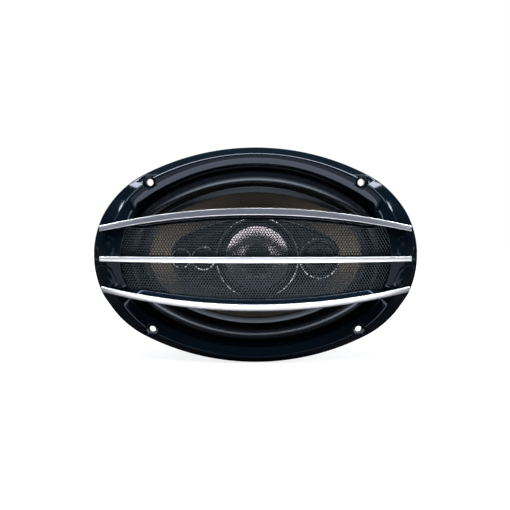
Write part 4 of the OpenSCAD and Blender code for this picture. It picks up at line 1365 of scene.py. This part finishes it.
# Cross-headed screws hold the back on
HEAD_H = 1.6
HEAD_R = 2.6
SHANK_R = 1.15
HEAD_Z = POD_REAR - POD_WALL - HEAD_H
TIP_Z = HEAD_Z + 10.5
SLOT_L, SLOT_W = 2.2, 0.6
corner_signs = ((-1, -1), (1, -1), (1, 1), (-1, 1))
screw_spots = [(i * 32, j * 19) for i, j in corner_signs]
pod_screw_heads = drums("pod_screw_heads", screw_spots, rounded([
    (0, HEAD_Z), (1.8, HEAD_Z), (HEAD_R, HEAD_Z + HEAD_H), (SHANK_R, HEAD_Z + HEAD_H),
    (SHANK_R, TIP_Z), (0, TIP_Z)], [0, 0.6, 0.2, 0.1, 0.3, 0], 3), zinc_steel, 32)
for x, y in screw_spots:
    for wide, high in ((SLOT_L, SLOT_W), (SLOT_W, SLOT_L)):
        carve(pod_screw_heads, loft("slot_tool", [
            [(x + i * wide / 2, y + j * high / 2, z) for i, j in corner_signs]
            for z in (HEAD_Z - 1, HEAD_Z + 0.8)], None))
dress(pod_screw_heads, "frame", "plated_steel", "pod_screws")

# ---- Driver rings ----
# A ring of gloss black plastic snaps on to the pod round each small driver. The thin line round
# its rim is plated in the same silver as the bars.
RING_H = 2.0
RIM_LINE = 1.0


def gloss_black(pen):
    smear = noise(pen, 120, 2)
    return {
        "Base Color": tint(pen, smear, (0.003, 0.003, 0.004), (0.007, 0.007, 0.009)),
        "Roughness": 0.10 + 0.08 * smear,
        "IOR": 1.42,
    }


ring_gloss = coat("ring_gloss", gloss_black)


def driver_ring(node, x, outer, inner):
    """A stepped gloss ring, and the silver line that is let into its rim."""
    ring = lathe(f"{node}_gloss", x, [
        (inner, POD_FRONT), (outer - 0.5, POD_FRONT), (outer - 0.5, POD_FRONT + 1.4),
        (outer - 1.0, POD_FRONT + RING_H), (outer - 1.6, POD_FRONT + RING_H),
        (inner, POD_FRONT + 0.9)], [0.1, 0.1, 0.2, 0.3, 0.3, 0.3], ring_gloss, 120)
    dress(ring, "frame", "ring_gloss", node)
    line = lathe(f"{node}_line", x, [
        (outer - RIM_LINE, POD_FRONT + 0.1), (outer, POD_FRONT + 0.1), (outer, POD_FRONT + 1.5),
        (outer - RIM_LINE, POD_FRONT + 1.7)], [0.05, 0.1, 0.25, 0.15], silver_plate, 120)
    dress(line, "frame", "silver_plate", node)


driver_ring("midrange_ring", MID_X, MID_R, MID_OPEN)
driver_ring("tweeter_ring", TWEETER_X, TWEETER_R, TWEETER_R - 4.5)
driver_ring("inner_piezo_ring", INNER_X, INNER_R, INNER_R - 2.8)
driver_ring("outer_piezo_ring", OUTER_X, OUTER_R, OUTER_R - 2.4)

# ---- Midrange ----
# A small cone of pearl film in the middle of the pod, hung in a rubber roll, with a dark dust cap
# glued over its coil. Its basket, yoke, magnet and coil are as the CAD has them.
MID_CONE_Z = POD_FRONT - 0.8
MID_CONE_R = MID_OPEN - 3
MID_NECK_R = 8.3
MID_NECK_Z = MID_CONE_Z - 7.5
MID_CAP_R = 10.5
MID_ROLL_R = 1.15
MID_ROLL_MID = MID_OPEN - 1.7
MID_RUBBER = 0.35
MID_CONE_T = 0.5
FILM_T = 0.25
ROLL_FOOT = MID_CONE_Z - 1
finish_node(black_steel, "midrange_basket")
finish_node(zinc_steel, "midrange_yoke")
finish_node(ferrite, "midrange_magnet")
finish_node(copper_wire, "midrange_coil")


def pearl_film(pen):
    cloud = noise(pen, 140, 3)
    return {
        "Base Color": tint(pen, cloud, (0.52, 0.46, 0.50), (0.68, 0.62, 0.66)),
        "Metallic": 1.0,
        "Roughness": 0.20 + 0.08 * cloud,
    }


def dark_film(pen):
    cloud = noise(pen, 220, 2)
    return {
        "Base Color": tint(pen, cloud, (0.010, 0.010, 0.013), (0.024, 0.024, 0.030)),
        "Roughness": 0.16 + 0.10 * cloud,
    }


dome_film = coat("dome_film", dark_film)
mid_roll = arc(MID_ROLL_MID, ROLL_FOOT, MID_ROLL_R, range(0, 181, 12))
mid_roll_profile = [
    (MID_OPEN - 0.1, ROLL_FOOT), (MID_OPEN - 0.1, ROLL_FOOT + 0.3), *mid_roll,
    (MID_CONE_R - 0.6, ROLL_FOOT + 0.3), (MID_CONE_R - 0.6, ROLL_FOOT),
    *[(r + (0.3 if r < MID_ROLL_MID else -0.3), max(ROLL_FOOT, z - MID_RUBBER))
      for r, z in reversed(mid_roll)]]
midrange_roll = drums("midrange_roll", [(MID_X, 0)], mid_roll_profile, surround_rubber, 120)
stretch(midrange_roll, "surround_rubber", "midrange_surround", "midrange",
        (MID_X + MID_OPEN, 0, MID_CONE_Z), (MID_X + MID_CONE_R, 0, MID_CONE_Z),
        lambda x, y, z: 1 - ease((math.hypot(x - MID_X, y) - MID_CONE_R)
                                 / (MID_OPEN - 0.6 - MID_CONE_R)))

mid_edge_r = MID_CONE_R + 0.2
mid_line = [(mix(mid_edge_r, MID_NECK_R, s), mix(ROLL_FOOT, MID_NECK_Z, 0.72 * s + 0.28 * s * s))
            for s in (k / 24 for k in range(25))]
pearl_cone = drums("pearl_cone", [(MID_X, 0)],
                   mid_line + [(r, z - MID_CONE_T) for r, z in reversed(mid_line)],
                   coat("mid_film", pearl_film), 120)
dress(pearl_cone, "midrange", "mid_film", "midrange_cone")


def dome_shell(name, x, base, rise, rim, foot, body, node):
    """A thin dome of film on a base radius, with a flat rim at the height of its foot."""
    ball = (base * base + rise * rise) / (2 * rise)
    reach = math.asin(base / ball)
    line = [(ball * math.sin(reach * k / 16), foot + rise - ball + ball * math.cos(reach * k / 16))
            for k in range(17)]
    line += [(base + 0.25, foot + 0.02), (rim, foot + 0.02)]
    back = [(r, z - FILM_T) for r, z in reversed(line)]
    dress(drums(name, [(x, 0)], line + back, dome_film, 72), body, "dome_film", node)


dome_shell("dust_cap", MID_X, MID_CAP_R - 1.2, 3, MID_CAP_R - 0.9, MID_NECK_Z + 1.15,
           "midrange", "midrange_dust_cap")

# ---- Small domes ----
# The tweeter and the two piezo tweeters end in domes pressed from dark film, one behind each ring.
# The tweeter's magnet and the bodies of the other two are as the CAD has them.
TWEETER_DOME_R = 7
TWEETER_DOME_RISE = 2.8
PIEZO_DOME = 0.55
PIEZO_DOME_RISE = 1.4
finish_node(zinc_steel, "tweeter_magnet")
finish_node(pod_black, "inner_piezo_body", "outer_piezo_body")
dome_shell("tweeter_film", TWEETER_X, TWEETER_DOME_R, TWEETER_DOME_RISE, TWEETER_R - 4.8,
           POD_FRONT - POD_WALL + 0.65, "tweeter_diaphragm", "tweeter_dome")
for name, x, radius in (("inner_piezo", INNER_X, INNER_R), ("outer_piezo", OUTER_X, OUTER_R)):
    base = PIEZO_DOME * radius
    dome_shell(f"{name}_film", x, base, PIEZO_DOME_RISE, base + 0.8, POD_FRONT + 0.35,
               f"{name}_diaphragm", f"{name}_dome")

# ---- Terminals ----
# A phenolic board riveted to the basket's tab carries a wide and a narrow spade, tinned brass, and
# a capacitor that keeps the bass from the pod's drivers.
BOARD_W = 30
BOARD_H = 18
BOARD_T = 1.6
BOARD_Z = TAB_Z - BOARD_T - 0.05
SPADE_T = 0.8
SPADE_Z = BOARD_Z - 0.05


def phenolic_paper(pen):
    fibres = noise(pen, 320, 4, stretch=(1, 1, 5))
    return {
        "Base Color": tint(pen, fibres, (0.13, 0.055, 0.020), (0.26, 0.125, 0.050)),
        "Roughness": 0.32 + 0.16 * fibres,
        "Normal": bumps(pen, fibres, 0.00002),
    }


def tinned_brass(pen):
    cloud = noise(pen, 260, 3)
    return {
        "Base Color": tint(pen, cloud, (0.60, 0.54, 0.38), (0.80, 0.77, 0.66)),
        "Metallic": 1.0,
        "Roughness": 0.24 + 0.16 * cloud,
    }


def shrink_sleeve(pen):
    cloud = noise(pen, 160, 3)
    return {
        "Base Color": tint(pen, cloud, (0.010, 0.030, 0.14), (0.020, 0.055, 0.22)),
        "Roughness": 0.26 + 0.14 * cloud,
    }


board_outline = rounded([
    (-BOARD_W / 2, BOARD_Y - BOARD_H), (BOARD_W / 2, BOARD_Y - BOARD_H), (BOARD_W / 2, BOARD_Y),
    (-BOARD_W / 2, BOARD_Y)], 1.2, 4)
board = plate("phenolic_board", board_outline, BOARD_Z, BOARD_Z + BOARD_T,
              coat("phenolic", phenolic_paper), 0.15)
carve(board, cutter([(-3.4, BOARD_Y - 3.5), (3.4, BOARD_Y - 3.5)], 1.5, -45, -35))
dress(board, "frame", "phenolic", "terminal_board")
finish_node(zinc_steel, "terminal_rivets")

terminal_tin = coat("terminal_tin", tinned_brass)
SPADE_FOOT = BOARD_Y - BOARD_H - 8
for node, x, wide in (("terminal_positive", -LEAD_X, 6.3), ("terminal_negative", LEAD_X, 4.8)):
    shape = rounded([(0.8, 0), (wide - 0.8, 0), (wide, 1.5), (wide, 16), (0, 16), (0, 1.5)],
                    [0.3, 0.3, 0.4, 0.8, 0.8, 0.4])
    spade = plate(f"{node}_spade", [(x - wide / 2 + a, SPADE_FOOT + b) for a, b in shape],
                  SPADE_Z - SPADE_T, SPADE_Z, terminal_tin, 0.15)
    carve(spade, cutter([(x, SPADE_FOOT + 4)], 0.9, -45, -35, 32))
    dress(spade, "frame", "terminal_tin", node)

# The capacitor lies across the board, with a groove rolled near one end of its can
CAN_R = 4
CAN_HALF = 9
CAN_Y, CAN_Z = BOARD_Y - 12, BOARD_Z - 4.9
can_line = rounded([
    (0, -CAN_HALF), (CAN_R, -CAN_HALF), (CAN_R, -CAN_HALF + 2.2), (CAN_R - 0.45, -CAN_HALF + 2.9),
    (CAN_R, -CAN_HALF + 3.6), (CAN_R, CAN_HALF), (0, CAN_HALF)], [0, 0.7, 0.3, 0.4, 0.3, 0.7, 0], 4)
capacitor = loft("capacitor_can", [
    [(along, CAN_Y + r * math.cos(turn), CAN_Z + r * math.sin(turn)) for r, along in can_line]
    for turn in ring_turns(48)], coat("capacitor_sleeve", shrink_sleeve), wrap=True)
dress(capacitor, "frame", "capacitor_sleeve", "crossover_capacitor")

# ---- Pod leads ----
# Two copper wires in a red and a black sleeve feed the pod's drivers. They come out of the hollow
# post, bend over the boot, run down its side and are soldered to the board.
POD_LEAD_R = 0.9
POD_LEAD_ROUTE = [
    (0, -82.5), (-1, -85), (-6, -86), (-20, -82), (-40, -80.4), (-50, -80.4), (-55.5, -77),
    (-55.5, -66), (-55.5, -56), (-56.5, -50), (-58, -46), (-60, -41.2)]


def lead_sleeve(low, high):
    def sleeve(pen):
        cloud = noise(pen, 300, 2)
        return {"Base Color": tint(pen, cloud, low, high), "Roughness": 0.38 + 0.14 * cloud}
    return sleeve


red_sleeve = coat("red_sleeve", lead_sleeve((0.26, 0.010, 0.010), (0.42, 0.020, 0.018)))
black_sleeve = coat("black_sleeve", lead_sleeve((0.010, 0.010, 0.011), (0.022, 0.022, 0.024)))
for side, name, sleeve in ((-1, "pod_lead_red", red_sleeve), (1, "pod_lead_black", black_sleeve)):
    route = [(side * mix(1.2, LEAD_X + 5, ease((i - 4) / 5)), y, z)
             for i, (y, z) in enumerate(POD_LEAD_ROUTE)]
    dress(strand(name, route, POD_LEAD_R, sleeve), "frame", "lead_sleeve", "pod_leads")

# ---- Closing lines ----
# Where each named thing shows, against its image point.


def seen_at(point):
    """The image point at which a place in the frame shows."""
    at = camera.matrix_world.inverted() @ Vector(point)
    long_side = max(W, H)
    scale = long_side * camera.data.lens / camera.data.sensor_width / -at.z
    return (
        W / 2 + at.x * scale - camera.data.shift_x * long_side,
        H / 2 - at.y * scale + camera.data.shift_y * long_side,
    )


def front_middle(node):
    """The middle of a node's front."""
    low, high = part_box(node)
    return Vector(((low.x + high.x) / 2, low.y, (low.z + high.z) / 2))


def shown_middle(piece, at_x=0.0, near=0.004):
    """The middle, in the image, of what a long piece shows near one place along it."""
    shown = [seen_at(v.co) for v in piece.data.vertices if abs(v.co.x - at_x) < near]
    return tuple((min(p[i] for p in shown) + max(p[i] for p in shown)) / 2 for i in (0, 1))


outline = [seen_at(v.co) for v in grille_ring.data.vertices]
shows = {
    "left_edge": (min(p[0] for p in outline), None),
    "right_edge": (max(p[0] for p in outline), None),
    "top_edge": (None, min(p[1] for p in outline)),
    "bottom_edge": (None, max(p[1] for p in outline)),
    "top_bar": shown_middle(bpy.data.objects["bar_top"]),
    "middle_bar": shown_middle(bpy.data.objects["bar_middle"]),
    "bottom_bar": shown_middle(bpy.data.objects["bar_bottom"]),
    "midrange": seen_at(front_middle("midrange_ring")),
    "tweeter": seen_at(front_middle("tweeter_ring")),
    "inner_piezo": seen_at(front_middle("inner_piezo_ring")),
    "outer_piezo": seen_at(front_middle("outer_piezo_ring")),
}
# A screw hole shows at the rim of its cup
CUP_RIM = 9
screw_names = ("screw_top_left", "screw_top_right", "screw_bottom_left", "screw_bottom_right")
for name, (x, y) in zip(screw_names, screw_at):
    shows[name] = seen_at(to_frame((x, y, CUP_RIM)))
offsets = {
    name: [None if want is None else round(found - want, 2)
           for want, found in zip(POINTS[name], at)]
    for name, at in shows.items()
}
